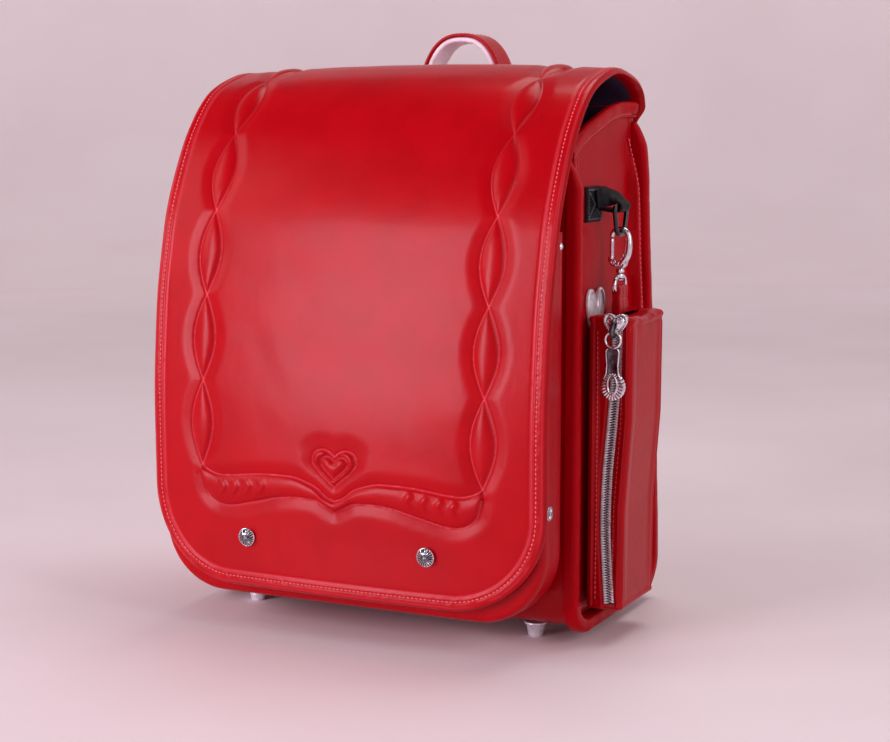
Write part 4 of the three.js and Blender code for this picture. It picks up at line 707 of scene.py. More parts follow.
def panel_places():
    """The grid of a side wall, closer toward its front and rear, with round lower corners."""
    inset = BODY_INSET + LEATHER + PANEL_CLEARANCE
    even = np.linspace(0, 1, 90)
    closer = 0.5 * even + 0.25 * (1 - np.cos(math.pi * even))
    u, v = np.meshgrid(closer, np.linspace(0, 1, 190), indexing="ij")
    front, bottom = BODY_FRONT_Y + inset, FLOOR_Z + LEATHER + PANEL_CLEARANCE
    z = bottom + v * (300 - bottom)
    rear = back_line_y(np.maximum(z, 33)) - inset
    y = front + u * (rear - front)
    top = side_top_z(np.minimum(y, back_line_y(SIDE_TOP_REAR_Z) - inset))
    z = bottom + v * (top - bottom)
    rear = back_line_y(np.maximum(z, 33)) - inset
    y = front + u * (rear - front)
    for edge, sign, radius in ((front, 1, FRONT_CORNER - inset), (rear, -1, BACK_CORNER - inset)):
        p = np.clip(1 - sign * (y - edge) / radius, 0, 1)
        q = np.clip(1 - (z - bottom) / radius, 0, 1)
        both = (p > 0) & (q > 0)
        y = np.where(both, edge + sign * radius * (1 - p * np.sqrt(1 - q * q / 2)), y)
        z = np.where(both, bottom + radius * (1 - q * np.sqrt(1 - p * p / 2)), z)
    return y, z


def sweep_piece(name, line, across, out, profile, finishes, loose=False, **more):
    """A body drawn along a line: profile holds, for each ring, how far across and how far out."""
    profile = np.broadcast_to(profile, (len(line),) + np.shape(profile)[-2:])
    points = line[:, None, :] + profile[..., :1] * across[:, None, :] + profile[..., 1:] * out[:, None, :]
    rings, count = points.shape[:2]
    return make_piece(name, points.reshape(-1, 3), ring_faces(rings, count, loose), finishes, **more)


def rear_rise(y, z):
    """How far the stitched strip stands up on its board: only up the rear of the wall."""
    return STRIP_RISE * smooth(y, 39, 50) * (1 - smooth(z, 262, 300))


panel_y, panel_z = panel_places()
panel_spots = np.column_stack([panel_y.ravel(), panel_z.ravel()])
panel_far = line_distance(panel_spots, panel_edge).reshape(panel_y.shape)
strip = smooth(panel_far, 9.2, 10.0) * (1 - smooth(panel_far, 16.6, 17.6)) * (1 - smooth(panel_z, 282, 292))
sewn = np.exp(-((panel_far - STRIP_STITCH_IN) / 1.0) ** 2) * strip
groove = np.exp(-((panel_far - 9.4) / 0.7) ** 2)
creep = ripple(panel_z + 0.5 * panel_y, 60, 31) * ripple(panel_y - 0.2 * panel_z, 38, 32)
puff = 0.35 * smooth(panel_far, 17, 45) * creep
panel_lift = 0.9 * strip - 0.3 * sewn - 0.6 * groove + puff + 0.12 * strip * ripple(panel_z + panel_y, 6, 33)
board = smooth(panel_far, 10.4, 11.6) * (1 - smooth(panel_far, 17.0, 19.0))
panel_lift += rear_rise(panel_y, panel_z) * board
rim_turn = np.linspace(0, math.pi, 17)
rim_across = 1 - np.sign(np.cos(rim_turn)) * np.abs(np.cos(rim_turn)) ** 0.55
rim_profile = np.column_stack([RIM_BAND / 2 * rim_across, RIM_THICKNESS * np.abs(np.sin(rim_turn)) ** 0.42])
rim_steps = np.arange(len(rim_line)) * 2.0
rim_pucker = 1 + 0.02 * ripple(rim_steps, 9, 41) + 0.02 * ripple(rim_steps, 30, 42)
rim_end = np.sqrt(np.clip(np.minimum(rim_steps, rim_steps[::-1]) / 15, 0.03, 1))
rim_rings = rim_profile[None] * np.stack([0.45 + 0.55 * rim_end, rim_pucker * rim_end], -1)[:, None]
trim_profile = np.array([
    (-0.8, -2.6), (-1.4, -1.2), (-1.4, 0.6), (-0.8, 1.7), (0.8, 2.2), (3, 2.15), (5, 1.9), (5.9, 1.5),
    (6.4, 1.25), (7.0, 1.5), (7.9, 1.4), (8.5, 0.9), (8.5, 0.1), (0.2, 0.05), (0.2, -2.6)])
for side, hand in ((-1, "left"), (1, "right")):
    outer = np.stack([side * (PANEL_X + panel_lift), panel_y, panel_z], -1)
    inner = np.stack([np.full(panel_y.shape, side * (PANEL_X - LEATHER)), panel_y, panel_z], -1)
    # Painted highlight: the crease mark lightens the leather along the stitched line.
    panel = sheet_piece(f"side_wall_{hand}", outer, inner, [side_leather, purple_lining], inner_lined=True,
                        slot="red_leather", marks={"crease": np.clip(0.25 * sewn, 0, 1)})
    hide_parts(f"side_panel_{hand}")
    outward = lambda count: np.tile((float(side), 0.0, 0.0), (count, 1))
    lay = lambda line, x: np.column_stack([np.full(len(line), side * x), line])
    inward = to_left(rim_line, 1.0) - rim_line
    rim = sweep_piece(
        f"edge_roll_{hand}", lay(rim_line, PANEL_X + 0.2), np.column_stack([np.zeros(len(inward)), inward]),
        outward(len(rim_line)), rim_rings, side_leather, slot="red_leather")
    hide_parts(f"side_rim_{hand}")
    sewn_line = to_left(body_line(0, RIM_FLOOR_Z, 279, 303, 4.0), STRIP_STITCH_IN)
    sewn_x = PANEL_X + 0.95 + rear_rise(sewn_line[:, 0], sewn_line[:, 1])
    stitch_row(f"side_stitches_{hand}", np.column_stack([side * sewn_x, sewn_line]),
               outward(len(sewn_line)), 3.1, 1.05)
    edge_y = np.linspace(BODY_FRONT_Y + 4.5, float(back_line_y(SIDE_TOP_REAR_Z)) - BODY_INSET, 90)
    edge = spline(np.column_stack([edge_y, side_top_z(edge_y)]), 90)
    down = to_left(edge, -1.0) - edge
    wrinkle = 1 + 0.10 * ripple(edge[:, 0], 16, 51)[:, None] + 0.9 * smooth(edge[:, 0], 38, 58)[:, None]
    trim_rings = trim_profile[None] * np.stack([np.ones_like(wrinkle), wrinkle], -1)
    trim = sweep_piece(f"top_binding_{hand}", lay(edge, PANEL_X + 0.25),
                       np.column_stack([np.zeros(len(down)), down]), outward(len(edge)),
                       trim_rings, side_leather, slot="red_leather")
    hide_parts(f"side_trim_{hand}")
    seam = to_left(edge, -6.4)[:-6]
    seam_rise = np.outer(smooth(seam[:, 0], 38, 58), (1.2 * side, 0, 0))
    stitch_row(f"binding_stitches_{hand}", lay(seam, PANEL_X + 1.6) + seam_rise, outward(len(seam)), 2.7, 0.7)

# The front pocket is a tray of leather under the flap, open at the top, and a narrower recessed
# wall joins it to the body. Its outer edge is rounded and stitched.
POCKET_HALF, POCKET_TOP, POCKET_FLOOR, POCKET_REAR, POCKET_CORNER = 128.0, 246.0, 21.0, -58.5, 42.0
GUSSET_HALF, GUSSET_FLOOR, GUSSET_CORNER = 117.0, 31.0, 34.0


def tray_line(half, floor_z, top, corner, count):
    """The front view of the tray: down one side, under its floor and up the other."""
    line = np.vstack([
        [(-half, z) for z in np.linspace(top, floor_z + corner, 40)[:-1]],
        arc(-half + corner, floor_z + corner, corner, math.pi, 1.5 * math.pi, 24)[:-1],
        [(x, floor_z) for x in np.linspace(-half + corner, half - corner, 30)[:-1]],
        arc(half - corner, floor_z + corner, corner, 1.5 * math.pi, 2 * math.pi, 24),
        [(half, z) for z in np.linspace(floor_z + corner, top, 40)[1:]]])
    return spline(line, count)


def pocket_face_y(z):
    """The face of the tray follows the inside of the flap."""
    row = np.interp(z, flap_side[:600, 1], flap_side[:600, 0])
    return row + FLAP_THICKNESS + 1.2


def tray_grid(inset):
    """Rings from the tray's open rear to its rounded edge, and on across its face."""
    line = tray_line(POCKET_HALF - inset, POCKET_FLOOR + inset, POCKET_TOP, POCKET_CORNER - inset, 240)
    rings = []
    depth = np.array([0, 0.06, 0.12, 0.3, 0.5, 0.7, 0.82, 0.9, 0.95, 0.98, 1.0])
    front = pocket_face_y(line[:, 1]) + inset
    for share in depth:
        y = POCKET_REAR + share * (front - POCKET_REAR)
        draw = 4.0 * (1 - math.sqrt(max(0.0, 1 - max(0.0, (share - 0.8) / 0.2) ** 2)))
        draw -= 0.4 * math.exp(-((share - 0.12) / 0.05) ** 2)
        inward = to_left(line, 1.0) - line
        spot = line + draw * inward
        rings.append(np.column_stack([spot[:, 0], y, np.minimum(spot[:, 1], POCKET_TOP)]))
    last = rings[-1]
    for share in (0.96, 0.85, 0.6, 0.3, 0.02):
        x, z = last[:, 0] * share, POCKET_TOP - (POCKET_TOP - last[:, 2]) * share
        rings.append(np.column_stack([x, pocket_face_y(z) + inset, z]))
    return np.array(rings)


pocket = sheet_piece("front_pocket_tray", tray_grid(0.0), tray_grid(LEATHER), [red_leather, purple_lining],
                     inner_lined=True, slot="red_leather")
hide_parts("front_pocket")
tray_seam = tray_line(POCKET_HALF, POCKET_FLOOR, POCKET_TOP - 4, POCKET_CORNER, 260)
seam_out = tray_seam - to_left(tray_seam, 1.0)
stitch_row("pocket_stitches", np.column_stack([tray_seam[:, 0] + 0.1 * seam_out[:, 0],
                                              np.full(len(tray_seam), POCKET_REAR - 2.6),
                                              tray_seam[:, 1] + 0.1 * seam_out[:, 1]]),
           np.column_stack([seam_out[:, 0], np.zeros(len(seam_out)), seam_out[:, 1]]), 2.9, 0.7)


def gusset_grid(inset):
    """Rings from the tray back to the body, drawn in a little half way."""
    line = tray_line(GUSSET_HALF - inset, GUSSET_FLOOR + inset, POCKET_TOP, GUSSET_CORNER - inset, 220)
    inward = to_left(line, 1.0) - line
    rings = []
    for share in np.linspace(0, 1, 9):
        spot = line + 1.6 * math.sin(math.pi * share) * inward * (inset < 1)
        y = POCKET_REAR + 0.3 + share * (BODY_FRONT_Y + 0.2 - POCKET_REAR - 0.3)
        rings.append(np.column_stack([spot[:, 0], np.full(len(line), y), spot[:, 1]]))
    return np.array(rings)


gusset = sheet_piece("pocket_wall", gusset_grid(0.0), gusset_grid(LEATHER), [red_leather, purple_lining],
                     inner_lined=True, slot="red_leather")
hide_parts("pocket_gusset")

# The pad for the wearer's back is foam under leather, quilted in rows, with a channel up the middle.
# A stitched welt runs round it.
PAD_HALF, PAD_LOW, PAD_HIGH, PAD_DEPTH = 98.0, 62.0, 252.0, 8.0
pad_u, pad_v = np.meshgrid(np.linspace(-1, 1, 131), np.linspace(0, 1, 121), indexing="ij")
pad_edge = np.minimum((1 - np.abs(pad_u)) * PAD_HALF, np.minimum(pad_v, 1 - pad_v) * (PAD_HIGH - PAD_LOW))
pad_corner = 1 - smooth(np.hypot(np.maximum(np.abs(pad_u) * PAD_HALF - 78, 0),
                                 np.maximum(np.abs(pad_v - 0.5) * (PAD_HIGH - PAD_LOW) - 75, 0)), 14, 20)
pad_rows = np.abs(np.sin(3.5 * math.pi * pad_v))
pad_channel = smooth(np.abs(pad_u) * PAD_HALF, 3, 13)
pad_quilt = np.exp(-(pad_rows / 0.10) ** 2) * smooth(pad_edge, 10, 14) * pad_channel
pad_seam = np.exp(-((pad_edge - 5) / 1.1) ** 2)
pad_crown = np.sqrt(np.clip(pad_edge / 20, 0, 1)) * (0.35 + 0.65 * pad_channel)
pad_lift = PAD_DEPTH * (0.2 + 0.8 * pad_crown * (0.82 + 0.18 * pad_rows)) - 1.2 * pad_quilt - 0.8 * pad_seam
pad_wrinkle = ripple(pad_v * (PAD_HIGH - PAD_LOW) + 20 * pad_u, 17, 61)
pad_lift += 0.25 * pad_wrinkle * pad_channel * smooth(pad_edge, 6, 14)
pad_lift *= 0.35 + 0.65 * pad_corner
pad_z = PAD_LOW + pad_v * (PAD_HIGH - PAD_LOW)
pad_base = back_line_y(pad_z) - BODY_INSET + 0.2
# Painted highlight: the crease mark lightens the leather along the quilting and the welt.
pad = sheet_piece("back_cushion", np.stack([pad_u * PAD_HALF, pad_base + pad_lift, pad_z], -1),
                  np.stack([pad_u * PAD_HALF, pad_base, pad_z], -1), red_leather, slot="red_leather",
                  marks={"crease": np.clip(0.25 * (pad_quilt + pad_seam), 0, 1)})
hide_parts("back_pad")
hem = np.array([(-93.0, 67.0), (93.0, 67.0), (93.0, 247.0), (-93.0, 247.0), (-93.0, 67.0)])
hem_line = np.vstack([np.linspace(a, b, 50)[:-1] for a, b in zip(hem, hem[1:])])
hem_lift = 0.2 + PAD_DEPTH * (0.2 + 0.8 * 0.5 * 0.85) - 1.3 - 0.5
stitch_row("cushion_stitches", np.column_stack([hem_line[:, 0], back_line_y(hem_line[:, 1]) + hem_lift + 0.15,
                                               hem_line[:, 1]]),
           np.tile((0.0, 1.0, 0.0), (len(hem_line), 1)), 3.2, 0.75)

# The bracket behind the top edge carries the handle and both shoulder straps. It is a bent plate
# covered in the same red leather, sewn through the flap's tail with two rows of stitches.
BRACKET_HALF, BRACKET_LOW, SHELF_Z, SHELF_DEPTH = 86.0, 268.0, 294.0, 30.0


def bracket_y(z):
    """How far back the bracket starts: it lies on the flap's tail."""
    return back_line_y(z) - BODY_INSET + 0.8 + FLAP_THICKNESS


bracket_faces = [(float(bracket_y(z)), z) for z in (BRACKET_LOW, 281.0, SHELF_Z)]
shelf_rear = float(bracket_y(SHELF_Z)) + SHELF_DEPTH
low_y, knee_y = float(bracket_y(BRACKET_LOW)) + 4, float(bracket_y(290)) + 4
bracket_outline = np.array(bracket_faces + [
    (shelf_rear - 1.6, SHELF_Z), (shelf_rear - 0.3, SHELF_Z - 0.6), (shelf_rear, SHELF_Z - 2),
    (shelf_rear - 0.3, SHELF_Z - 3.4), (shelf_rear - 1.6, SHELF_Z - 4), (knee_y + 1.5, SHELF_Z - 4),
    (knee_y, SHELF_Z - 5.5), (low_y, BRACKET_LOW + 1.2), (low_y - 1.2, BRACKET_LOW)])
bracket_end = BRACKET_HALF - np.array([0, 0.4, 1.6])
bracket_x = np.concatenate([-bracket_end, np.linspace(-82, 82, 60), bracket_end[::-1]])
bracket_draw = 1 - 0.03 * np.clip((np.abs(bracket_x) - 83) / 3, 0, 1) ** 2
centre_y, centre_z = bracket_outline.mean(axis=0)
bracket_line = np.insert(np.tile((centre_y, centre_z), (len(bracket_x), 1)), 0, bracket_x, axis=1)
bracket_rings = (bracket_outline - (centre_y, centre_z))[None] * bracket_draw[:, None, None]
axis_y, axis_z = (np.tile(axis, (len(bracket_x), 1)) for axis in ((0.0, 1.0, 0.0), (0.0, 0.0, 1.0)))
bracket = sweep_piece("carrying_bracket", bracket_line, axis_y, axis_z, bracket_rings, red_leather,
                      slot="red_leather")
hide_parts("anchor_bracket")
for level in (272.0, 284.0):
    row_x = np.linspace(-82, 82, 60)
    row = np.column_stack([row_x, np.full(60, np.interp(level, [268, 290], [low_y, knee_y]) + 0.1),
                           np.full(60, level)])
    stitch_row(f"bracket_stitches_{int(level)}", row, np.tile((0.0, 1.0, 0.0), (60, 1)), 3.0, 0.75)

# The handle is a band of red leather over a softer padded band of pale leather that wrinkles
# where it bends.
HANDLE_SPAN, HANDLE_RISE, HANDLE_SKIN = 66.0, 71.0, 2.2


def pale_shade(thread):
    cloudy = thread.noise(60.0, 3.0)
    pores = thread.cells(1300.0)
    folds = thread.node("ShaderNodeTexNoise", None, {
        "Vector": thread.place(), "Scale": 240.0, "Detail": 2.0, "Distortion": 1.2})
    return {
        "Base Color": cloudy.slope(0.3, 0.7).tint(coloured(226, 208, 218), coloured(242, 230, 238)),
        "Roughness": 0.55 + 0.15 * cloudy,
        "Normal": thread.bump(pores, 0.00005, 0.4, thread.bump(folds, 0.0006, 0.6)),
    }


pale_leather = finish("pale leather", pale_shade)
handle_y = float(bracket_y(SHELF_Z)) + SHELF_DEPTH / 2
handle_turn = np.linspace(0, math.pi, 120)
handle_arch = np.column_stack([
    HANDLE_SPAN / 2 * np.sign(np.cos(handle_turn)) * np.abs(np.cos(handle_turn)) ** 0.8,
    SHELF_Z + 0.3 + HANDLE_RISE * np.sin(handle_turn) ** 0.75])
handle_arch = spline(handle_arch[::3], 130)


def band_profile(half, thick, rounding, crown=0.0):
    """The section of a flat band with round edges, from its face downward."""
    turn = np.linspace(0, math.pi, 7)
    flat = np.linspace(-half + rounding, half - rounding, 9)[1:-1]
    right = [(half - rounding + rounding * math.sin(t), -thick / 2 + thick / 2 * math.cos(t)) for t in turn]
    top = [(x, crown * (1 - (x / half) ** 2)) for x in flat]
    left = [(-x, z) for x, z in reversed(right)]
    under = [(-x, -thick) for x in flat]
    return np.array(top + right + under + left)


def arch_rings(depth):
    """The arch at a depth under its outer face, the way across it and the way outward."""
    line = to_left(handle_arch, depth)
    line[0, 1] = line[-1, 1] = SHELF_Z + 0.3
    inward = to_left(handle_arch, 1.0) - handle_arch
    spots = np.column_stack([line[:, 0], np.full(len(line), handle_y), line[:, 1]])
    along_y = np.tile((0.0, 1.0, 0.0), (len(line), 1))
    outward = -np.column_stack([inward[:, 0], np.zeros(len(line)), inward[:, 1]])
    return spots, along_y, outward


steps = np.arange(len(handle_arch)) * 1.6
spots, along_y, outward = arch_rings(0.0)
handle = sweep_piece("handle_leather", spots, along_y, outward, band_profile(12, HANDLE_SKIN, 1.1),
                     red_leather, slot="red_leather")
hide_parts("handle_band")
for edge in (-9.6, 9.6):
    row = spots + edge * along_y + 0.05 * outward
    stitch_row(f"handle_stitches_{'front' if edge < 0 else 'back'}", row[4:-4], outward[4:-4], 2.8, 0.7)
spots, along_y, outward = arch_rings(HANDLE_SKIN + 0.25)
soft = band_profile(11.4, 3.2, 1.5)
fold = 1 + 0.10 * ripple(steps, 7, 71)[:, None] + 0.10 * np.abs(ripple(steps, 13, 72))[:, None]
soft_under = soft[None, :, 1] * np.where(soft[None, :, 1] < -1.8, fold, 1)
soft_rings = np.stack([np.tile(soft[:, 0], (len(steps), 1)), soft_under], -1)
lining = sweep_piece("handle_soft_lining", spots, along_y, outward, soft_rings, pale_leather,
                     slot="pale_lining")
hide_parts("handle_lining")

# Each shoulder strap is a padded band of leather that hangs from the bracket in a wide bow and is
# sewn into a tab near the floor of the bag. It narrows toward its tail.
STRAP_LINE = np.array([(0, 0, 0), (0.1, 0.42, 0), (0.25, 0.82, 0), (0.42, 1, 0.05), (0.6, 0.86, 0.3),
                       (0.75, 0.56, 0.8), (0.9, 0.2, 1), (1, 0.06, 1)])
STRAP_X, STRAP_BOW, STRAP_WIDTH, STRAP_TAIL_WIDTH = 60.0, 43.4, 46.0, 28.0
STRAP_THICKNESS, STRAP_TAIL_THICKNESS, TAB_THICKNESS = 8.0, 4.0, 4.0
strap_top, strap_low = SHELF_Z - 4.3, 60.3
strap_top_y = float(bracket_y(strap_top)) + 4.3 + STRAP_THICKNESS / 2
strap_low_y = float(back_line_y(strap_low)) - BODY_INSET + 0.6 + TAB_THICKNESS / 2
strap_z = strap_top + (strap_low - strap_top) * STRAP_LINE[:, 0]
strap_y = strap_top_y + (strap_low_y - strap_top_y) * STRAP_LINE[:, 0] + STRAP_BOW * STRAP_LINE[:, 1]
strap_line = spline(np.column_stack([strap_y, strap_z]), 150)
strap_drop = (strap_top - strap_line[:, 1]) / (strap_top - strap_low)
narrowing = smooth(np.interp(strap_drop, STRAP_LINE[:, 0], STRAP_LINE[:, 2]), 0, 1)
strap_half = (STRAP_WIDTH + (STRAP_TAIL_WIDTH - STRAP_WIDTH) * narrowing) / 2
strap_thick = STRAP_THICKNESS + (STRAP_TAIL_THICKNESS - STRAP_THICKNESS) * narrowing
strap_out = -(to_left(strap_line, 1.0) - strap_line)
strap_out *= np.sign(strap_out[:, :1])
strap_out[0] = strap_out[-1] = (1, 0)
strap_turn = np.linspace(0, 2 * math.pi, 40, endpoint=False)
flat = np.sign(np.cos(strap_turn)) * np.abs(np.cos(strap_turn)) ** 0.35
round_off = np.sign(np.sin(strap_turn)) * np.abs(np.sin(strap_turn)) ** 0.55
puff_steps = 1 + 0.03 * ripple(np.arange(150) * 1.9, 22, 81)
for side, hand in ((-1, "left"), (1, "right")):
    line = np.column_stack([np.full(150, side * STRAP_X), strap_line])
    across = np.tile((1.0, 0.0, 0.0), (150, 1))
    out = np.column_stack([np.zeros(150), strap_out])
    welt = 1 - 0.28 * np.exp(-((np.abs(flat)[None, :] - 0.8) / 0.05) ** 2)
    swell = strap_thick[:, None] / 2 * round_off * puff_steps[:, None] * welt
    rings = np.stack([strap_half[:, None] * flat, swell], -1)
    strap = sweep_piece(f"padded_strap_{hand}", line, across, out, rings, red_leather, slot="red_leather")
    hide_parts(f"shoulder_strap_{hand}")
    for edge, word in ((-0.8, "inner"), (0.8, "outer")):
        row = line + edge * strap_half[:, None] * across + out * (strap_thick[:, None] * 0.37)
        stitch_row(f"strap_stitches_{word}_{hand}", row[3:-3], out[3:-3], 3.0, 0.75)
    tab_z = np.linspace(30, 60, 30)
    tab_line = np.column_stack([np.full(30, side * STRAP_X), back_line_y(tab_z) - BODY_INSET + 4.3, tab_z])
    tab = sweep_piece(f"sewn_tab_{hand}", tab_line, np.tile((1.0, 0, 0), (30, 1)),
                      np.tile((0, 1.0, 0), (30, 1)), band_profile(17, TAB_THICKNESS, 1.5, 0.4), red_leather,
                      slot="red_leather")
    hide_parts(f"strap_tab_{hand}")
    box_x = np.array([-13, 13, 13, -13, -13, 13, 13, -13]) + side * STRAP_X
    box_z = np.array([34, 34, 56, 56, 34, 56, 34, 56])
    box = np.column_stack([box_x, back_line_y(box_z) + 4.0, box_z])
    cross = np.vstack([np.linspace(a, b, 16)[:-1] for a, b in zip(box, box[1:])])
    stitch_row(f"tab_stitches_{hand}", cross, np.tile((0, 1.0, 0), (len(cross), 1)), 2.8, 0.7)

# The small metal fittings are plated steel: turned feet under the floor, domed studs with a cut
# sunburst, rivets, and the magnet clasp behind the flap. They are riveted through the leather.
def plated_shade(thread):
    cloudy = thread.noise(220.0, 3.0)
    brushed = thread.node("ShaderNodeTexNoise", None, {
        "Vector": thread.node("ShaderNodeMapping", None, {
            "Vector": thread.place(), "Scale": (2400.0, 2400.0, 160.0)}), "Scale": 1.0, "Detail": 2.0})
    wear_and_painted_highlight = cloudy.slope(0.45, 0.75)
    cut = thread.mark("cut")
    clean = wear_and_painted_highlight.tint(coloured(226, 226, 232), coloured(190, 188, 194))
    return {
        # Painted shade: the cut mark turns the stud's ray valleys near black.
        "Base Color": cut.tint(clean, coloured(12, 11, 14)),
        "Roughness": 0.13 + 0.1 * wear_and_painted_highlight + 0.06 * brushed,
        "Normal": thread.bump(brushed, 0.00002, 0.4, thread.bump(cloudy, 0.0001, 0.3)),
    }


def satin_shade(thread):
    cloudy = thread.noise(320.0, 3.0)
    return {
        "Base Color": cloudy.slope(0.35, 0.7).tint(coloured(214, 212, 218), coloured(238, 237, 242)),
        "Roughness": 0.3 + 0.12 * cloudy,
        "Normal": thread.bump(cloudy, 0.00006, 0.4),
    }


plated = finish("plated steel", plated_shade, Metallic=1.0)
# Painted light: this steel is only half metal, so its pale colour shows as plain diffuse colour and the feet,
# zip teeth and badge stay bright where they lie in shade.
lightened_satin_steel = finish("lightened satin steel", satin_shade, Metallic=0.45)


def frame_box(node):
    """The box of a node of the frame, in the bag's millimetres."""
    return [(np.array(corner) - MIDDLE) * 1000 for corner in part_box(node)]


def turned_piece(name, profile, centre, axis, sides=40, metal=None, rays=0, depth=0.0, crisp=35):
    """A body turned round an axis. Profile: radius, then height along the axis. Rays cut its face, and the cut
    mark paints their valleys dark as shade.
    """
    axis = unit(np.asarray(axis, float))
    first = unit(np.cross(axis, (0.0, 0.0, 1.0) if abs(axis[2]) < 0.9 else (1.0, 0.0, 0.0)))
    second = np.cross(axis, first)
    profile = np.asarray(profile, float)
    turn = 2 * math.pi * np.arange(sides) / sides
    ray = np.abs((turn * rays / (2 * math.pi)) % 1 - 0.5) * 2 - 0.5 if rays else np.zeros(sides)
    widest = profile[:, 0].max()
    points = []
    for radius, height in profile:
        share = radius / widest
        cut = 0 * ray
        if rays and share < 0.95:
            cut = depth * ray * math.sin(math.pi * min(share / 0.95, 1.0)) ** 0.7
        points.append(centre + radius * (np.cos(turn)[:, None] * first + np.sin(turn)[:, None] * second)
                      + (height + cut)[:, None] * axis)
    points = np.vstack(points)
    marks = {}
    if rays:
        radii = np.repeat(profile[:, 0] / widest, sides)
        # Painted shade: the valleys between the rays get a dark mark.
        dark = np.clip(0.5 - 4 * np.tile(ray, len(profile)), 0, 1)
        marks["cut"] = np.where((radii > 0.2) & (radii < 0.9), dark, 0)
    return make_piece(name, points, ring_faces(len(profile), sides), metal or plated, slot="chrome",
                      marks=marks, crisp=crisp)


for fore in ("front", "rear"):
    for hand in ("left", "right"):
        low, high = frame_box(f"foot_{fore}_{hand}")
        middle = (low + high) / 2
        foot = turned_piece(f"turned_foot_{fore}_{hand}", [
            (0.4, 0.5), (3.2, 0.5), (3.6, 0.05), (4.0, 0.0), (4.3, 0.25), (4.5, 0.9), (5.1, 4.0),
            (5.2, 4.25), (5.1, 4.5), (5.25, 4.8), (5.85, 7.6), (6.1, 7.95), (6.7, 8.0), (7.0, 8.25),
            (7.0, 8.9), (6.8, 9.2), (0.5, 9.25)], (middle[0], middle[1], 0.0), (0, 0, 1), metal=lightened_satin_steel)
        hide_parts(f"foot_{fore}_{hand}")
STUD_RADIUS, STUD_HEIGHT, SIDE_STUD_RADIUS, SIDE_STUD_HEIGHT = 5.6, 2.9, 4.2, 1.1
STUD_FACE = [(0.3, STUD_HEIGHT), (0.9, 2.85), (1.3, 2.45), (1.7, 2.55), (3.0, 2.35), (4.2, 1.85), (4.75, 1.5),
             (4.95, 1.35), (5.25, 1.6), (5.55, 1.4), (STUD_RADIUS, 1.0), (STUD_RADIUS, 0.2), (5.3, 0.0),
             (0.3, 0.0)]
side_stud_face = [(radius * SIDE_STUD_RADIUS / STUD_RADIUS, height * SIDE_STUD_HEIGHT / STUD_HEIGHT)
                  for radius, height in STUD_FACE]
for side, hand in ((-1, "left"), (1, "right")):
    low, high = frame_box(f"flap_stud_{hand}")
    middle = (low + high) / 2
    stud = turned_piece(f"sunburst_stud_{hand}", STUD_FACE, (middle[0], high[1] + 0.2, middle[2]),
                        (0, -1, 0), 96, rays=20, depth=0.8, crisp=20)
    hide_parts(f"flap_stud_{hand}")
    low, high = frame_box(f"pocket_stud_{hand}")
    middle = (low + high) / 2
    stud = turned_piece(f"sunburst_side_stud_{hand}", side_stud_face,
                        (side * (POCKET_HALF + 0.05), middle[1], middle[2]), (side, 0, 0), 96, rays=20,
                        depth=0.4, crisp=20)
    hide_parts(f"pocket_stud_{hand}")
    low, high = frame_box(f"pocket_rivet_{hand}")
    middle = (low + high) / 2
    rivet = turned_piece(f"domed_rivet_{hand}", [
        (0.2, 1.2), (0.8, 1.15), (1.3, 0.9), (1.5, 0.55), (1.65, 0.6), (1.95, 0.5), (2.1, 0.3), (2.1, 0.0),
        (0.2, 0.0)], (side * (POCKET_HALF + 0.1), middle[1], middle[2]), (side, 0, 0), 32)
    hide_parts(f"pocket_rivet_{hand}")
low, high = frame_box("flap_clasp")
middle = (low + high) / 2
deep = high[1] - low[1]
clasp = turned_piece("magnet_clasp", [
    (0.4, deep), (2.6, deep), (2.9, deep - 0.3), (3.0, deep - 1.2), (6.2, deep - 1.3), (6.6, deep - 1.6),
    (6.7, deep - 2.2), (7.7, deep - 2.3), (8.0, deep - 2.7), (8.0, 0.3), (7.7, 0.0), (0.4, 0.0)],
    (middle[0], high[1], middle[2]), (0, -1, 0), 48)
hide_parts("flap_clasp")

# A patch of black woven nylon is sewn to the right wall with a cross of stitches. From it a ribbon
# of the same web turns over the top bar of a black enamelled ring and comes back to the wall.
def web_shade(thread):
    weave = thread.node("ShaderNodeTexWave", {"wave_type": "BANDS", "bands_direction": "DIAGONAL"}, {
        "Vector": thread.place(), "Scale": 420.0, "Distortion": 1.5, "Detail": 2.0})
    cross = thread.node("ShaderNodeTexWave", {"wave_type": "BANDS", "bands_direction": "Z"}, {
        "Vector": thread.place(), "Scale": 300.0, "Distortion": 1.0})
    dust = thread.noise(90.0, 3.0)
    return {
        "Base Color": dust.slope(0.35, 0.7).tint(coloured(9, 9, 11), coloured(24, 23, 27)),
        "Roughness": 0.42 + 0.25 * weave,
        "Normal": thread.bump(weave * cross, 0.00018, 0.8, thread.bump(dust, 0.0006, 0.4)),
    }


def enamel_shade(thread):
    cloudy = thread.noise(150.0, 3.0)
    return {
        "Base Color": cloudy.slope(0.4, 0.7).tint(coloured(10, 10, 12), coloured(30, 29, 33)),
        "Roughness": 0.22 + 0.15 * cloudy,
        "Normal": thread.bump(cloudy, 0.0002, 0.25),
    }


def black_thread_shade(thread):
    twist = thread.noise(2600.0, 2.0)
    return {
        "Base Color": twist.slope(0.35, 0.65).tint(coloured(58, 56, 62), coloured(112, 110, 118)),
        "Roughness": 0.4 + 0.2 * twist,
        "Normal": thread.bump(twist, 0.00008, 0.6),
    }


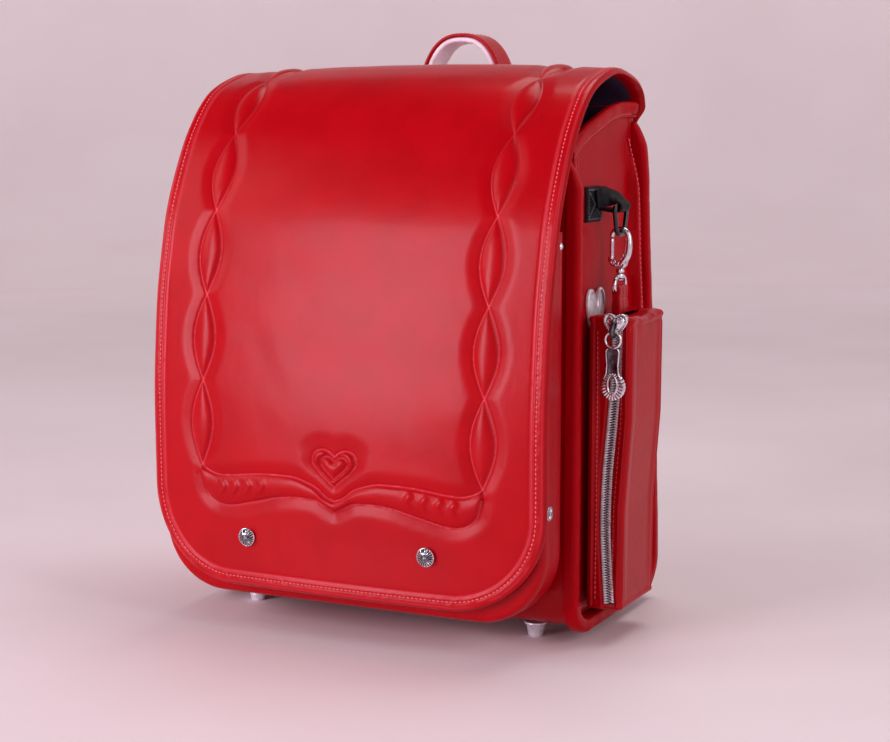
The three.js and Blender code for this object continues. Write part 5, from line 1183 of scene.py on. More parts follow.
black_web = finish("black web", web_shade, Specular_IOR_Level=0.15)
black_enamel = finish("black enamel", enamel_shade, Metallic=0.35, Coat_Weight=0.5)
black_thread = finish("black thread", black_thread_shade)
CHAIN_X, CHAIN_Y, RING_Z, RING_WIRE, WEB = 138.0, 8.0, 258.2, 2.8, 1.8
low, high = frame_box("webbing_patch")
patch_x, patch_y, patch_z = low[0], (low[1], high[1]), (low[2], high[2])


def cushion_grid(half_a, half_b, steps_a, steps_b):
    """Steps across a small sheet, close together near its edges, and how far each lies from one."""
    spread = lambda half, steps: half * np.sin(np.linspace(-math.pi / 2, math.pi / 2, steps))
    a, b = np.meshgrid(spread(half_a, steps_a), spread(half_b, steps_b), indexing="ij")
    return a, b, np.minimum(half_a - np.abs(a), half_b - np.abs(b))


PATCH_HALF_Y, PATCH_HALF_Z = 12.0, 10.5
a, b, near_edge = cushion_grid(PATCH_HALF_Y, PATCH_HALF_Z, 40, 38)
leaning = a * PATCH_HALF_Z / PATCH_HALF_Y
diagonal = np.minimum(np.abs(leaning - b), np.abs(leaning + b))
patch_lift = WEB * np.clip(near_edge, 0, 1) ** 0.5 - 0.35 * np.exp(-(diagonal / 1.0) ** 2)
patch_lift += 0.12 * ripple(a + 2 * b, 5, 91)
patch_mid = (sum(patch_y) / 2 + 3.0, sum(patch_z) / 2)
patch = sheet_piece("web_patch", np.stack([patch_x + patch_lift, patch_mid[0] + a, patch_mid[1] + b], -1),
                    np.stack([np.full(a.shape, patch_x - 0.1), patch_mid[0] + a, patch_mid[1] + b], -1),
                    black_web, slot="black_webbing")
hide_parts("webbing_patch")
corner = np.array([(-10.2, -8.6), (10.2, -8.6), (10.2, 8.6), (-10.2, 8.6), (-10.2, -8.6), (10.2, 8.6)])
cross = np.vstack([np.linspace(p, q, 14)[:-1] for p, q in zip(corner, corner[1:])]
                  + [np.linspace((-10.2, 8.6), (10.2, -8.6), 14)])
for part, run in (("box", cross[:66]), ("cross", cross[66:])):
    patch_line = np.insert(run + patch_mid, 0, patch_x + WEB + 0.05, axis=1)
    stitch_row(f"patch_stitches_{part}", patch_line, np.tile((1.0, 0, 0), (len(run), 1)), 1.9, 0.7,
               black_thread)

# The ribbon: where its middle runs, and the way it lies across.
ribbon_path = np.array([
    (127.9, -6.0, 262.6, 0, 0, 1), (129.0, -2.8, 263.2, 0, 0.1, 1), (130.2, 0.6, 264.0, 0, 0.45, 0.9),
    (132.2, 4.0, 264.3, 0, 0.85, 0.5), (135.3, 7.0, 263.6, 0, 1, 0.18), (138.3, 8.0, 261.2, 0, 1, 0),
    (140.6, 8.0, 259.0, 0, 1, 0), (140.5, 8.0, 256.9, 0, 1, 0), (138.0, 8.0, 255.5, 0, 1, 0),
    (134.4, 8.0, 255.6, 0, 1, 0), (130.0, 7.6, 256.4, 0, 1, 0), (126.6, 7.2, 256.8, 0, 1, 0)])
ribbon_line = spline(ribbon_path[:, :3], 90)
path_steps = np.concatenate([[0], np.cumsum(np.linalg.norm(np.diff(ribbon_path[:, :3], axis=0), axis=1))])
ribbon_steps = np.linspace(0, path_steps[-1], 90)
ribbon_run = ways(ribbon_line)
ribbon_wide = unit(np.column_stack([np.interp(ribbon_steps, path_steps, ribbon_path[:, axis])
                                    for axis in (3, 4, 5)]))
ribbon_wide = unit(ribbon_wide - (ribbon_wide * ribbon_run).sum(axis=1, keepdims=True) * ribbon_run)
ribbon_out = unit(np.cross(ribbon_run, ribbon_wide))
ribbon_half = 5.6 + 2.0 * smooth(ribbon_steps, 5, 15)
flat = band_profile(1.0, WEB, 0.06)
ribbon_lift = np.tile(flat[:, 1] + WEB / 2, (90, 1)) + 0.15 * ripple(ribbon_steps, 7, 92)[:, None]
ribbon_rings = np.stack([flat[None, :, 0] * ribbon_half[:, None], ribbon_lift], -1)
ribbon = sweep_piece("web_ribbon", ribbon_line, ribbon_wide, ribbon_out, ribbon_rings, black_web,
                     slot="black_webbing")
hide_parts("webbing_loop")


def wire_piece(name, line, radius, metal, loose=False, fixed=(1.0, 0.0, 0.0), slot="chrome", flat=1.0,
               body="bag"):
    """Wire along a line. Radius may change on the way; flat squeezes it in the fixed direction."""
    run = ways(line)
    if loose:
        run = unit(np.roll(line, -1, axis=0) - np.roll(line, 1, axis=0))
    second = unit(np.cross(run, np.asarray(fixed, float)))
    first = unit(np.cross(second, run))
    turn = 2 * math.pi * np.arange(14) / 14
    section = np.column_stack([np.cos(turn), np.sin(turn)])
    rings = section[None] * np.broadcast_to(radius, len(line))[:, None, None] * (flat, 1.0)
    return sweep_piece(name, line, first, second, rings, metal, loose=loose, slot=slot, body=body)


def closed_line(points, count):
    """A smooth line that runs round through points and back to the first."""
    wide = np.vstack([points[-3:], points, points[:3]])
    line = spline(wide, count * 4)
    start = int(np.argmin(np.linalg.norm(line - points[0], axis=1)[: count * 2]))
    stop = start + 20 + int(np.argmin(np.linalg.norm(line[start + 20:] - points[0], axis=1)))
    return spline(line[start:stop + 1], count + 1)[:-1]


RING_HALF, RING_DROP = 9.9, 16.7
ring_side = np.array([
    (0.0, 0.0), (0.5, 0.0), (0.85, 0.004), (0.965, 0.035), (1.0, 0.11), (0.985, 0.2), (0.78, 0.62),
    (0.67, 0.84), (0.55, 0.94), (0.3, 0.993), (0.0, 1.0)]) * (RING_HALF, RING_DROP)
ring_corners = np.vstack([ring_side, (ring_side * (-1, 1))[-2:0:-1]])
ring_line = closed_line(np.column_stack([np.full(len(ring_corners), CHAIN_X), CHAIN_Y + ring_corners[:, 0],
                                         RING_Z - ring_corners[:, 1]]), 110)
ring = wire_piece("enamelled_ring", ring_line, RING_WIRE / 2, black_enamel, loose=True, slot="black_metal")
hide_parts("d_ring")

# The snap hook is cast and plated: a thick curved leg over a scrolled neck, a straight spring gate,
# and a swivel ball below that turns in a wire eye.
HOOK_BASE, HOOK_TOP, HOOK_HALF = 226.0, 244.7, 5.3
HOOK_GIRTH, GATE_GIRTH = 1.6, 1.3
leg = np.array([
    (0.0, -0.15, 1.25), (0.35, -0.03, 1.45), (0.78, 0.14, 1.4), (1.0, 0.36, 1.3), (1.02, 0.6, 1.2),
    (0.94, 0.8, 1.1), (0.6, 0.95, 1.0), (0.0, 1.0, 1.0), (-0.6, 0.95, 1.0), (-0.92, 0.86, 0.95),
    (-1.0, 0.76, 0.85)])
hook_points = np.column_stack([CHAIN_X + leg[:, 0] * HOOK_HALF, np.full(len(leg), CHAIN_Y),
                               HOOK_BASE + leg[:, 1] * (HOOK_TOP - HOOK_BASE)])
hook_line = spline(hook_points, 90)
hook_share = np.concatenate([[0], np.cumsum(np.linalg.norm(np.diff(hook_points, axis=0), axis=1))])
hook_girth = HOOK_GIRTH * np.interp(np.linspace(0, hook_share[-1], 90), hook_share, leg[:, 2])
hook = wire_piece("hook_leg", hook_line, hook_girth, plated, fixed=(0, 1, 0), flat=0.95)
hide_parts("snap_hook")
EYE_TOP, EYE_BAR = 217.0, 209.0
base_line = np.array([(-7.1, 228.6), (-7.2, 226.0), (-5.6, 223.6), (-2.6, 221.8), (2.2, 221.6), (4.3, 223.8),
                      (4.4, 226.2), (1.6, 227.0), (-1.2, 226.4), (-3.6, 226.6)])
base_ring = spline(np.vstack([base_line, base_line[:1]]), 61)[:-1]
base_middle = base_ring.mean(axis=0)
base_layers = []
for share, depth in ((0.86, -1.75), (0.97, -1.55), (1.0, -1.1), (1.0, 1.1), (0.97, 1.55), (0.86, 1.75)):
    spot = base_middle + (base_ring - base_middle) * share
    base_layers.append(np.column_stack([CHAIN_X + spot[:, 0], np.full(60, CHAIN_Y + depth), spot[:, 1]]))
make_piece("hook_neck", np.vstack(base_layers), ring_faces(6, 60), plated, slot="chrome")
scrolls = [(-3.9, 224.9, 1.5), (0.6, 224.3, 1.7), (3.4, 229.2, 1.3), (-1.7, 223.3, 1.0)]
for place, (across, up, size) in enumerate(scrolls):
    turn = np.linspace(0, 2.6 * math.pi, 34)
    swirl = size * np.linspace(1, 0.25, 34)
    curl = np.column_stack([CHAIN_X + across + swirl * np.cos(turn), np.full(34, CHAIN_Y - 1.75),
                            up + swirl * np.sin(turn)])
    wire_piece(f"hook_scroll_{place}", curl, 0.34, plated, fixed=(0, 1, 0))
turned_piece("swivel_ball", [
    (0.3, 0.0), (1.6, 0.05), (2.1, 0.45), (2.1, 1.1), (1.5, 1.5), (1.1, 1.7), (1.1, 4.3), (1.7, 4.6),
    (2.4, 5.2), (2.6, 6.1), (2.35, 7.0), (1.7, 7.7), (1.5, 8.3), (1.9, 8.9), (1.9, 9.4), (0.4, 9.8)],
    (CHAIN_X, CHAIN_Y, EYE_TOP - 3.0), (0, 0, 1), 36)
gate_low, gate_high = frame_box("hook_gate")
gate_x = (gate_low[0] + gate_high[0]) / 2
gate_line = np.column_stack([np.full(24, gate_x), np.full(24, CHAIN_Y),
                             np.linspace(gate_low[2] + 0.1, gate_high[2], 24)])
gate_share = np.linspace(0, 1, 24)
gate_girth = GATE_GIRTH * np.clip(np.minimum(gate_share, 1 - gate_share) / 0.06, 0.3, 1) ** 0.5
gate_groove = np.exp(-((gate_share - 0.16) / 0.04) ** 2) + np.exp(-((gate_share - 0.9) / 0.03) ** 2)
gate_girth *= 1 - 0.12 * gate_groove
gate = wire_piece("spring_gate", gate_line, gate_girth, plated, fixed=(0, 1, 0))
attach(gate, "gate")
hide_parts("hook_gate")
EYE_HALF, EYE_RISE = 9.0, EYE_TOP - EYE_BAR
eye_arch = np.array([(1.0, 0.3), (0.98, 0.5), (0.86, 0.74), (0.62, 0.9), (0.3, 1.0), (0.12, 1.0)])
eye_arch *= (EYE_HALF, EYE_RISE)
eye_corners = np.vstack([(0.0, 0.0), (0.6 * EYE_HALF, 0.0), (0.92 * EYE_HALF, 0.02), eye_arch,
                         (eye_arch * (-1, 1))[::-1], (-0.92 * EYE_HALF, 0.02), (-0.6 * EYE_HALF, 0.0)])
eye_line = closed_line(np.column_stack([np.full(len(eye_corners), CHAIN_X), CHAIN_Y + eye_corners[:, 0],
                                        EYE_BAR + eye_corners[:, 1]]), 100)
eye = wire_piece("swivel_wire", eye_line, 1.2, plated, loose=True)
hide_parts("swivel_eye")
turned_piece("swivel_boss", [(1.5, -1.15), (2.4, -1.2), (2.6, -0.9), (2.6, 0.9), (2.4, 1.2), (1.5, 1.15)],
             (CHAIN_X, CHAIN_Y, EYE_TOP), (0, 0, 1), 36)

# The key pouch is soft red leather sewn along its corners, with a folded tab on top that hangs from
# the swivel eye. Its sides sag and wrinkle a little, and its front is drawn in along the zip.
POUCH_X, POUCH_FRONT, POUCH_DEPTH, POUCH_LOW, POUCH_HIGH = 129.0, -20.0, 57.0, 20.0, 196.0
POUCH_TALL, POUCH_WIDTH, POUCH_SPREAD, POUCH_SAG = POUCH_HIGH - POUCH_LOW, 22, 5, 1.5
ZIP_X = 147.0
ZIP_PATH = np.array([(10, 145.2), (22, 144.2), (49, 142.0), (73, 140.8), (103, 141.6), (130, 144.0),
                     (150, 145.6), (170, 146.7), (186, ZIP_X), (200, ZIP_X)])
zip_curve = spline(ZIP_PATH[:, ::-1], 160)


def zip_centre(z):
    """How far across the zip runs at a height."""
    return np.interp(z, zip_curve[:, 1], zip_curve[:, 0])


def pouch_spread(up):
    """How much the pouch is wider at a share of its height: its upper half is the wide one."""
    return POUCH_SPREAD * np.interp(up, [0, 0.35, 0.65, 1], [0.1, 0.2, 0.95, 1.0])


def pouch_ring(width, draw):
    """A round-cornered oblong as points, outward directions, and marks for its front and corners."""
    spots, outs, fronts, corners = [], [], [], []
    radius = 3.2
    half = np.array([width / 2 - draw, POUCH_DEPTH / 2 - draw])
    sides = [((-1, -1), (1, -1), (0, -1), 46), ((1, -1), (1, 1), (1, 0), 54), ((1, 1), (-1, 1), (0, 1), 30),
             ((-1, 1), (-1, -1), (-1, 0), 40)]
    for start, end, out, steps in sides:
        start, end, out = (np.array(v, float) for v in (start, end, out))
        run = unit(end - start)
        first, last = start * half + run * radius, end * half - run * radius
        for share in np.linspace(0, 1, steps):
            spot = first + (last - first) * share
            spots.append(spot)
            outs.append(out)
            fronts.append(1.0 if out[1] < -0.5 else 0.0)
            corners.append(min(np.linalg.norm(spot - start * half), np.linalg.norm(spot - end * half)))
        angle = math.atan2(out[1], out[0])
        centre = last - out * radius
        for turn in np.linspace(angle, angle + math.pi / 2, 8)[1:-1]:
            way = np.array([math.cos(turn), math.sin(turn)])
            spots.append(centre + radius * way)
            outs.append(way)
            fronts.append(0.0)
            corners.append(0.0)
    return np.array(spots), np.array(outs), np.array(fronts), np.array(corners)


ups = np.concatenate([np.linspace(0, 0.04, 9)[:-1], np.linspace(0.04, 0.96, 92), np.linspace(0.96, 1, 9)[1:]])
cap_draws = [9.6, 6.0, 3.4]
levels = [(0.0, draw) for draw in cap_draws] + [(up, 0.0) for up in ups]
levels += [(1.0, draw) for draw in reversed(cap_draws)]
pouch_rows, pouch_marks = [], []
for up, extra in levels:
    width = POUCH_WIDTH + pouch_spread(up)
    pinch = 2.6 * (1 - math.sqrt(1 - max(0, 1 - up / 0.016) ** 2)) if up < 0.016 else 0
    pinch += 2.6 * (1 - math.sqrt(1 - max(0, 1 - (1 - up) / 0.016) ** 2)) if up > 0.984 else 0
    spots, outs, fronts, corners = pouch_ring(width, pinch + extra)
    z = POUCH_LOW + up * POUCH_TALL
    x, y = POUCH_X + width / 2 + spots[:, 0], POUCH_FRONT + POUCH_DEPTH / 2 + spots[:, 1]
    welt = 0.5 * np.exp(-((corners - 2.4) / 0.9) ** 2) - 0.3 * np.exp(-((corners - 4.6) / 0.8) ** 2)
    zip_far = np.abs(x - zip_centre(z))
    channel = fronts * (-1.0 * (1 - smooth(zip_far, 3.4, 5.2)) + 0.12 * np.exp(-((zip_far - 5.6) / 0.9) ** 2))
    sag = -POUCH_SAG * fronts * math.sin(math.pi * up) * smooth(corners, 3, 8)
    creep = ripple(z + 0.5 * y, 42, 101) * ripple(y - 0.1 * z, 33, 102)
    folds = (1 - fronts) * smooth(corners, 4, 12) * 0.9 * (creep - math.sin(math.pi * up) ** 0.5)
    crimp = 0.3 * ripple(x * 1.2 + y, 14, 103) * math.exp(-(((1 - up) / 0.05) ** 2))
    crimp += 0.08 * ripple(x * 1.2 + y, 14, 104) * math.exp(-((up / 0.03) ** 2))
    piping = 0.35 * math.exp(-(((up - 0.012) / 0.008) ** 2)) - 0.3 * math.exp(-(((up - 0.03) / 0.006) ** 2))
    piping += 0.6 * math.exp(-(((1 - up - 0.014) / 0.008) ** 2))
    piping -= 0.5 * math.exp(-(((1 - up - 0.032) / 0.007) ** 2))
    lift = np.where(extra > 0, 0, welt + channel + sag + folds + crimp + piping)
    drop = 2.2 * smooth(up, 0.93, 1.0) * (0.5 - 0.5 * np.cos(2 * math.pi * (y - POUCH_FRONT) / POUCH_DEPTH))
    drop += 0.7 * smooth(up, 0.95, 1.0) * ripple(x + 1.3 * y, 14, 105)
    pouch_rows.append(np.column_stack([x + outs[:, 0] * lift, y + outs[:, 1] * lift, z - drop]))
    # Painted highlight: the crease mark lightens the leather along the sewn corners.
    pouch_marks.append(np.where(extra > 0, 0, 0.3 * np.exp(-((corners - 2.4) / 0.6) ** 2)))
pouch_rows = np.array(pouch_rows)
pouch = make_piece("key_pouch", pouch_rows.reshape(-1, 3), ring_faces(*pouch_rows.shape[:2]), red_leather,
                   slot="red_leather", marks={"crease": np.clip(np.ravel(pouch_marks), 0, 1)})
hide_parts("pouch")
sewn_z = np.linspace(POUCH_LOW + 6, POUCH_HIGH - 9, 90)
sewn_up = (sewn_z - POUCH_LOW) / POUCH_TALL
sewn_y = POUCH_FRONT - 0.1 + POUCH_SAG * np.sin(math.pi * sewn_up) * smooth(6.0, 3, 8)
for side, sewn_x in (("inner", np.full(90, POUCH_X + 6.0)),
                     ("outer", POUCH_X + POUCH_WIDTH + pouch_spread(sewn_up) - 6.0)):
    stitch_row(f"pouch_stitches_{side}", np.column_stack([sewn_x, sewn_y, sewn_z]),
               np.tile((0, -1.0, 0), (90, 1)), 2.9, 0.6)

TAB_HALF, TAB_BEND = 7.1, 2.9
tab_turn = np.linspace(0, math.pi, 22)
tab_loop = np.vstack([[(CHAIN_X + TAB_BEND, z) for z in np.linspace(192.5, 207, 12)],
                      np.column_stack([CHAIN_X + TAB_BEND * np.cos(tab_turn),
                                       EYE_BAR + TAB_BEND * np.sin(tab_turn)]),
                      [(CHAIN_X - TAB_BEND, z) for z in np.linspace(207, 192.5, 12)]])
tab_loop[:, 0] -= np.sign(tab_loop[:, 0] - CHAIN_X) * 0.55 * np.exp(-((tab_loop[:, 1] - 204) / 2.2) ** 2)
tab_y = CHAIN_Y + TAB_HALF * np.sin(np.linspace(-math.pi / 2, math.pi / 2, 26))
tab_edge = np.clip((TAB_HALF - np.abs(tab_y - CHAIN_Y)) / 0.9, 0, 1) ** 0.5
tab_rings = []
for y, near in zip(tab_y, tab_edge):
    ring_points = (tab_loop - (CHAIN_X, 203)) * (0.72 + 0.28 * near) ** np.array([1, 0.15]) + (CHAIN_X, 203)
    tab_rings.append(np.column_stack([ring_points[:, 0] + 0.12 * math.sin(y), np.full(len(tab_loop), y),
                                      ring_points[:, 1]]))
tab = make_piece("pouch_tab_fold", np.vstack(tab_rings), ring_faces(len(tab_rings), len(tab_loop)),
                 red_leather, slot="red_leather")
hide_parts("pouch_tab")
for side, word in ((-1, "inner"), (1, "outer")):
    line = np.column_stack([np.full(12, CHAIN_X + side * 2.45), np.linspace(2.6, 13.4, 12), np.full(12, 203.6)])
    stitch_row(f"tab_fold_stitches_{word}", line, np.tile((float(side), 0, 0), (12, 1)), 2.2, 0.6)

# The zip has a dark woven tape, two rows of plated teeth that bend with the pouch, and a heart
# shaped slider with a beaded rim and a bridge that holds the pull.
def tape_shade(thread):
    weave = thread.node("ShaderNodeTexWave", {"wave_type": "BANDS", "bands_direction": "Z"}, {
        "Vector": thread.place(), "Scale": 700.0, "Distortion": 1.0})
    dust = thread.noise(120.0, 3.0)
    return {
        "Base Color": dust.slope(0.35, 0.7).tint(coloured(26, 20, 40), coloured(52, 42, 70)),
        "Roughness": 0.6 + 0.2 * weave,
        "Normal": thread.bump(weave, 0.0001, 0.7),
    }


def dark_metal_shade(thread):
    cloudy = thread.noise(260.0, 3.0)
    return {
        "Base Color": cloudy.slope(0.4, 0.7).tint(coloured(70, 68, 74), coloured(120, 118, 124)),
        "Roughness": 0.24 + 0.2 * cloudy,
        "Normal": thread.bump(cloudy, 0.0002, 0.4),
    }


dark_tape = finish("dark tape", tape_shade)
dark_metal = finish("dark plated metal", dark_metal_shade, Metallic=1.0)
ZIP_LOW, ZIP_HIGH = 25.0, 191.0
tape_z = np.linspace(ZIP_LOW - 1, ZIP_HIGH, 120)


def zip_front(z):
    """How far back the zip lies at a height: it follows the pouch's sagging front."""
    return POUCH_FRONT + 1.0 + POUCH_SAG * np.sin(math.pi * np.clip((z - POUCH_LOW) / POUCH_TALL, 0, 1))


tape_line = np.column_stack([zip_centre(tape_z), zip_front(tape_z), tape_z])
tape = sweep_piece("zip_tape", tape_line, np.tile((1.0, 0, 0), (120, 1)), np.tile((0, -1.0, 0), (120, 1)),
                   band_profile(3.0, 0.8, 0.3) + (0, 0.4), dark_tape, slot="black_webbing")
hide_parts("zip_chain")


def teeth_row(name, side):
    """One row of teeth: each is narrow on the tape and thick where it locks."""
    pitch, reach, sides = 1.55, 1.55, 6
    places = np.arange(ZIP_LOW, ZIP_HIGH - 4, pitch) + (pitch / 2 if side > 0 else 0)
    girths = [0.35, 0.45, 0.9, 1.1, 0.9]
    shares = np.linspace(-1, 1, len(girths))
    turn = 2 * math.pi * np.arange(sides) / sides
    tooth = ring_faces(len(girths), sides)
    points, faces = [], []
    for z in places:
        lean = (zip_centre(z + 2) - zip_centre(z - 2)) / 4
        faces += [[corner + len(points) for corner in face] for face in tooth]
        for share, girth in zip(shares, girths):
            for a in turn:
                points.append((zip_centre(z) + side * (reach + share * reach),
                               zip_front(z) - 0.6 - 0.7 * girth * math.sin(a),
                               z - lean * side * reach - 0.25 * share + 0.7 * girth * math.cos(a)))
    return make_piece(name, points, faces, lightened_satin_steel, slot="chrome")


teeth_row("zip_teeth_inner", -1)
teeth_row("zip_teeth_outer", 1)


def layered_piece(name, outline, middle, layers, place, metal):
    """A plate built of layers: each draws the outline in by a share and lifts it by a height."""
    rows = [np.array([place(spot, height) for spot in middle + (outline - middle) * share])
            for share, height in layers]
    return make_piece(name, np.vstack(rows), ring_faces(len(rows), len(outline)), metal, slot="chrome",
                      crisp=40)


slider_half = spline([(0, -6.5), (3.4, -3.4), (6.2, 0.4), (7.1, 3.3), (6.3, 5.7), (4.0, 6.9), (1.6, 6.1),
                      (0, 4.2)], 34)
slider_outline = np.vstack([slider_half, (slider_half * (-1, 1))[-2:0:-1]])
SLIDER_MID_Z, SLIDER_BACK = 190.5, -20.3
slider = layered_piece("heart_slider", slider_outline, np.array([0, 0.6]), [
    (0.6, 0.0), (1.0, 0.0), (1.04, 0.4), (1.04, 2.6), (1.0, 3.1), (0.93, 3.2), (0.84, 2.7), (0.8, 2.7),
    (0.72, 3.5), (0.5, 4.1), (0.2, 4.3)],
    lambda spot, height: (ZIP_X + spot[0], SLIDER_BACK - height, SLIDER_MID_Z + spot[1]), plated)
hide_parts("zip_slider")
bead_line = np.array([(ZIP_X + 0.97 * x, SLIDER_BACK - 3.1, SLIDER_MID_Z + 0.6 + 0.97 * (z - 0.6))
                      for x, z in np.vstack([slider_outline, slider_outline[:1]])])
stitch_row("slider_beads", bead_line, np.tile((0, -1.0, 0), (len(bead_line), 1)), 1.25, 1.25, plated, dip=0.0)
for place, side in enumerate((-1, 1)):
    turn = np.linspace(0.3 * math.pi, 2.7 * math.pi, 30)
    swirl = 2.3 * np.linspace(1, 0.25, 30)
    curl = np.column_stack([ZIP_X + side * (3.2 + swirl * np.cos(turn)), np.full(30, SLIDER_BACK - 4.0),
                            SLIDER_MID_Z + 3.0 + swirl * np.sin(turn)])
    wire_piece(f"slider_scroll_{place}", curl, 0.36, plated, fixed=(0, 1, 0))
bridge_points = np.array([(-24.0, 194.3), (-26.2, 193.2), (-28.4, 190.6), (-29.3, 187.9), (-28.7, 185.6),
                          (-26.9, 184.5), (-24.2, 184.6)])
bridge_line = spline(np.column_stack([np.full(7, ZIP_X), bridge_points]), 40)
wire_piece("slider_bridge", bridge_line, 1.0, dark_metal, fixed=(1, 0, 0), flat=1.3)

# The pull is cast: a ring, a dark waist with a raised edge, and a fluted fan round an oval hole.
# It swings on the slider's bridge.
PULL_Y, PULL_RING_Z, FAN_Z, FAN = -26.8, 182.68, 155.55, 8.25
circle = np.linspace(0, 2 * math.pi, 60, endpoint=False)
pull_ring = np.column_stack([ZIP_X + 4.7 * np.cos(circle), np.full(60, PULL_Y),
                             PULL_RING_Z + 4.7 * np.sin(circle)])
pull = wire_piece("pull_ring", pull_ring, 0.9, plated, loose=True, fixed=(0, 1, 0), body="pull")
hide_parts("zip_pull")
waist_z = np.linspace(177.6, 160.0, 26)
waist_half = np.interp(waist_z, [160, 163, 168, 173, 176, 177.6], [5.4, 4.1, 3.7, 4.2, 4.3, 3.4])
waist_turn = np.linspace(0, 2 * math.pi, 24, endpoint=False)
flat_x = np.sign(np.cos(waist_turn)) * np.abs(np.cos(waist_turn)) ** 0.4
flat_y = np.sign(np.sin(waist_turn)) * np.abs(np.sin(waist_turn)) ** 0.5
hollow = 1 - 0.45 * np.clip(1 - (flat_x / 0.72) ** 6, 0, 1)
sweep_piece("pull_waist", np.column_stack([np.full(26, ZIP_X), np.full(26, PULL_Y), waist_z]),
            np.tile((1.0, 0, 0), (26, 1)), np.tile((0, -1.0, 0), (26, 1)),
            np.stack([waist_half[:, None] * flat_x, np.tile(0.85 * flat_y * hollow, (26, 1))], -1),
            dark_metal, body="pull", slot="chrome")
for side, hand in ((-1, "left"), (1, "right")):
    edge = np.column_stack([ZIP_X + side * (waist_half - 0.35), np.full(26, PULL_Y - 0.45), waist_z])
    wire_piece(f"pull_edge_{hand}", edge, 0.5, plated, fixed=(0, 1, 0), body="pull")
fan_turn = np.linspace(0, 2 * math.pi, 264, endpoint=False)
flute = np.abs((fan_turn * 24 / (2 * math.pi)) % 1 - 0.5) * 2
fan_inner = np.column_stack([2.3 * np.cos(fan_turn), 1.0 + 5.0 * np.sin(fan_turn)])
fan_outer = FAN * (1 - 0.035 * (1 - flute)[:, None]) * np.column_stack([np.cos(fan_turn), np.sin(fan_turn)])
fan_section = [
    (0.0, 0.35), (0.06, 0.85), (0.14, 1.0), (0.22, 0.75), (0.3, 0.7), (0.5, 0.85), (0.75, 0.8), (0.92, 0.6),
    (1.0, 0.2), (1.0, -0.3), (0.95, -0.7), (0.5, -0.8), (0.08, -0.8), (0.0, -0.4)]
fan_rings = []
for share, height in fan_section:
    spot = fan_inner + (fan_outer - fan_inner) * share
    cut_share = max(0.0, math.sin(math.pi * min(1, max(0, (share - 0.2) / 0.8)))) * (height > 0)
    cut = 0.5 * (flute - 0.5) * cut_share
    fan_rings.append(np.column_stack([ZIP_X + spot[:, 0], PULL_Y - 0.85 * height - cut, FAN_Z + spot[:, 1]]))
fan_points = np.array(fan_rings).transpose(1, 0, 2)
make_piece("pull_fan", fan_points.reshape(-1, 3), ring_faces(*fan_points.shape[:2], loose=True), plated, "pull",
           "chrome", crisp=35)
oval = np.column_stack([ZIP_X + 2.9 * np.cos(circle), np.full(60, PULL_Y - 0.75),
                        FAN_Z + 1.0 + 5.5 * np.sin(circle)])
wire_piece("pull_oval_edge", oval, 0.42, plated, loose=True, fixed=(0, 1, 0), body="pull")

# A plated heart with long lobes is fixed to the right wall, half behind the pouch. Its rim is
# raised and its middle swells.
low, high = frame_box("heart_ornament")
ornament_mid = np.array([(low[1] + high[1]) / 2, (low[2] + high[2]) / 2])
ornament_half = spline([(0, -16.8), (4.6, -10.5), (10.4, -1.0), (13.3, 7.2), (12.4, 13.6), (8.2, 16.9),
                        (3.6, 14.6), (0, 8.6)], 44)
ornament_outline = np.vstack([ornament_half, (ornament_half * (-1, 1))[-2:0:-1]])
ornament = layered_piece("heart_badge", ornament_outline, np.array([0, 3.0]), [
    (0.7, 0.0), (1.0, 0.0), (1.02, 0.3), (1.02, 1.5), (0.99, 2.1), (0.94, 2.3), (0.89, 2.0), (0.86, 1.3),
    (0.8, 1.3), (0.7, 2.0), (0.5, 2.7), (0.25, 3.0)],
    lambda spot, height: (low[0] + height, *(ornament_mid + spot)), lightened_satin_steel)
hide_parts("heart_ornament")

# The studio: a wide pale floor that turns up into a pale wall all round, far from the bag, and glows more
# toward that wall as painted light; soft lights, and the camera in front of the bag, a little to its right and
# about as high as its top.
def floor_shade(thread):
    cloudy = thread.noise(3.0, 3.0)
    away = thread.node("ShaderNodeVectorMath", {"operation": "LENGTH"}, {0: thread.place()}, "Value")
    return {
        "Base Color": cloudy.slope(0.3, 0.7).tint(coloured(226, 210, 214), coloured(232, 217, 221)),
        "Roughness": 0.55 + 0.1 * cloudy,
        # Painted light: the floor glows, not at all under the bag and more and more toward the far wall, so the
        # wall shows pale and sheds soft light.
        "Emission Color": away.slope(0.5, 2.6).tint((0, 0, 0, 1), coloured(234, 224, 227)),
    }


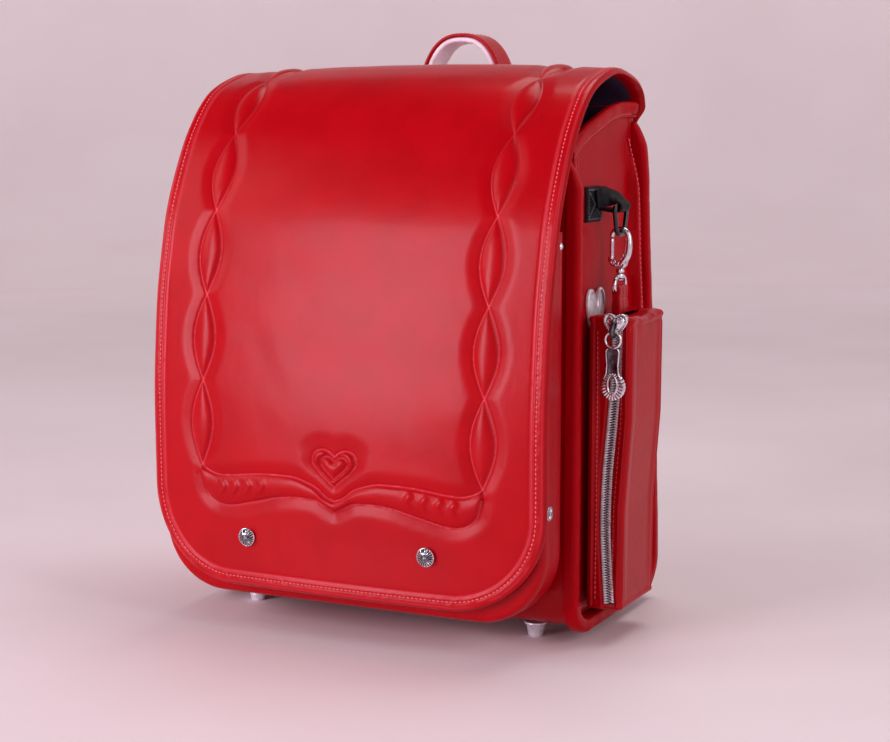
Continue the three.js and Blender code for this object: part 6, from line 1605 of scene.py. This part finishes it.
def studio_floor():
    """A round sheet, flat under the bag, that bends up into a wall."""
    reach, turn, top, sides = 2.7, 0.7, 2.6, 96
    profile = [(share * reach, 0.0) for share in (0.02, 0.15, 0.3, 0.45, 0.6, 0.8, 1.0)]
    profile += [(reach + turn * math.sin(a), turn - turn * math.cos(a))
                for a in np.linspace(0, math.pi / 2, 14)[1:]]
    profile.append((reach + turn, top))
    points = [(radius * math.cos(a), radius * math.sin(a), z)
              for radius, z in profile for a in 2 * math.pi * np.arange(sides) / sides]
    faces = [((row + 1) * sides + k, (row + 1) * sides + (k + 1) % sides, row * sides + (k + 1) % sides,
              row * sides + k) for row in range(len(profile) - 1) for k in range(sides)]
    mesh = bpy.data.meshes.new("floor")
    mesh.from_pydata(points, [], faces + [tuple(range(sides))])
    mesh.polygons.foreach_set("use_smooth", np.ones(len(mesh.polygons), bool))
    mesh.materials.append(finish("studio floor", floor_shade, Emission_Strength=0.25))
    floor = bpy.data.objects.new("floor", mesh)
    bpy.context.scene.collection.objects.link(floor)


studio_floor()


def soft_light(name, spot, target, size, power, tint=(1, 1, 1)):
    """A soft oblong light at a spot, turned toward a target."""
    lamp = bpy.data.lights.new(name, "AREA")
    lamp.shape = "RECTANGLE"
    lamp.size, lamp.size_y = size
    lamp.energy = power
    lamp.color = tint
    light = bpy.data.objects.new(name, lamp)
    light.location = spot
    light.rotation_euler = (Vector(target) - Vector(spot)).to_track_quat("-Z", "Y").to_euler()
    bpy.context.scene.collection.objects.link(light)


soft_light("front_light", (-0.75, -1.65, 0.56), (0.0, -0.1, 0.2), (0.6, 1.05), 25, (1, 0.86, 1.0))
soft_light("left_light", (-1.5, -0.9, 1.1), (0, 0, 0.15), (1.0, 1.0), 8)
soft_light("top_light", (0.2, 0.5, 1.6), (0, 0, 0.3), (1.2, 0.8), 12)
soft_light("right_light", (1.5, -0.5, 0.8), (0.1, 0, 0.15), (0.5, 1.0), 7)
world = bpy.data.worlds.new("studio")
bpy.context.scene.world = world
world.use_nodes = True
world.node_tree.nodes["Background"].inputs["Color"].default_value = (1.0, 0.93, 0.94, 1)
world.node_tree.nodes["Background"].inputs["Strength"].default_value = 0.12
bpy.context.scene.view_settings.view_transform = "Standard"

camera_data = bpy.data.cameras.new("camera")
camera_data.lens = 72.8
camera_data.sensor_width = 36.0
camera_data.clip_start = 0.05
camera = bpy.data.objects.new("camera", camera_data)
camera.location = Vector((0.50887, -0.99785, 0.30253)) + Vector(MIDDLE)
camera.rotation_euler = (math.radians(90 - 7.61), 0, math.radians(25.8))
bpy.context.scene.collection.objects.link(camera)
bpy.context.scene.camera = camera
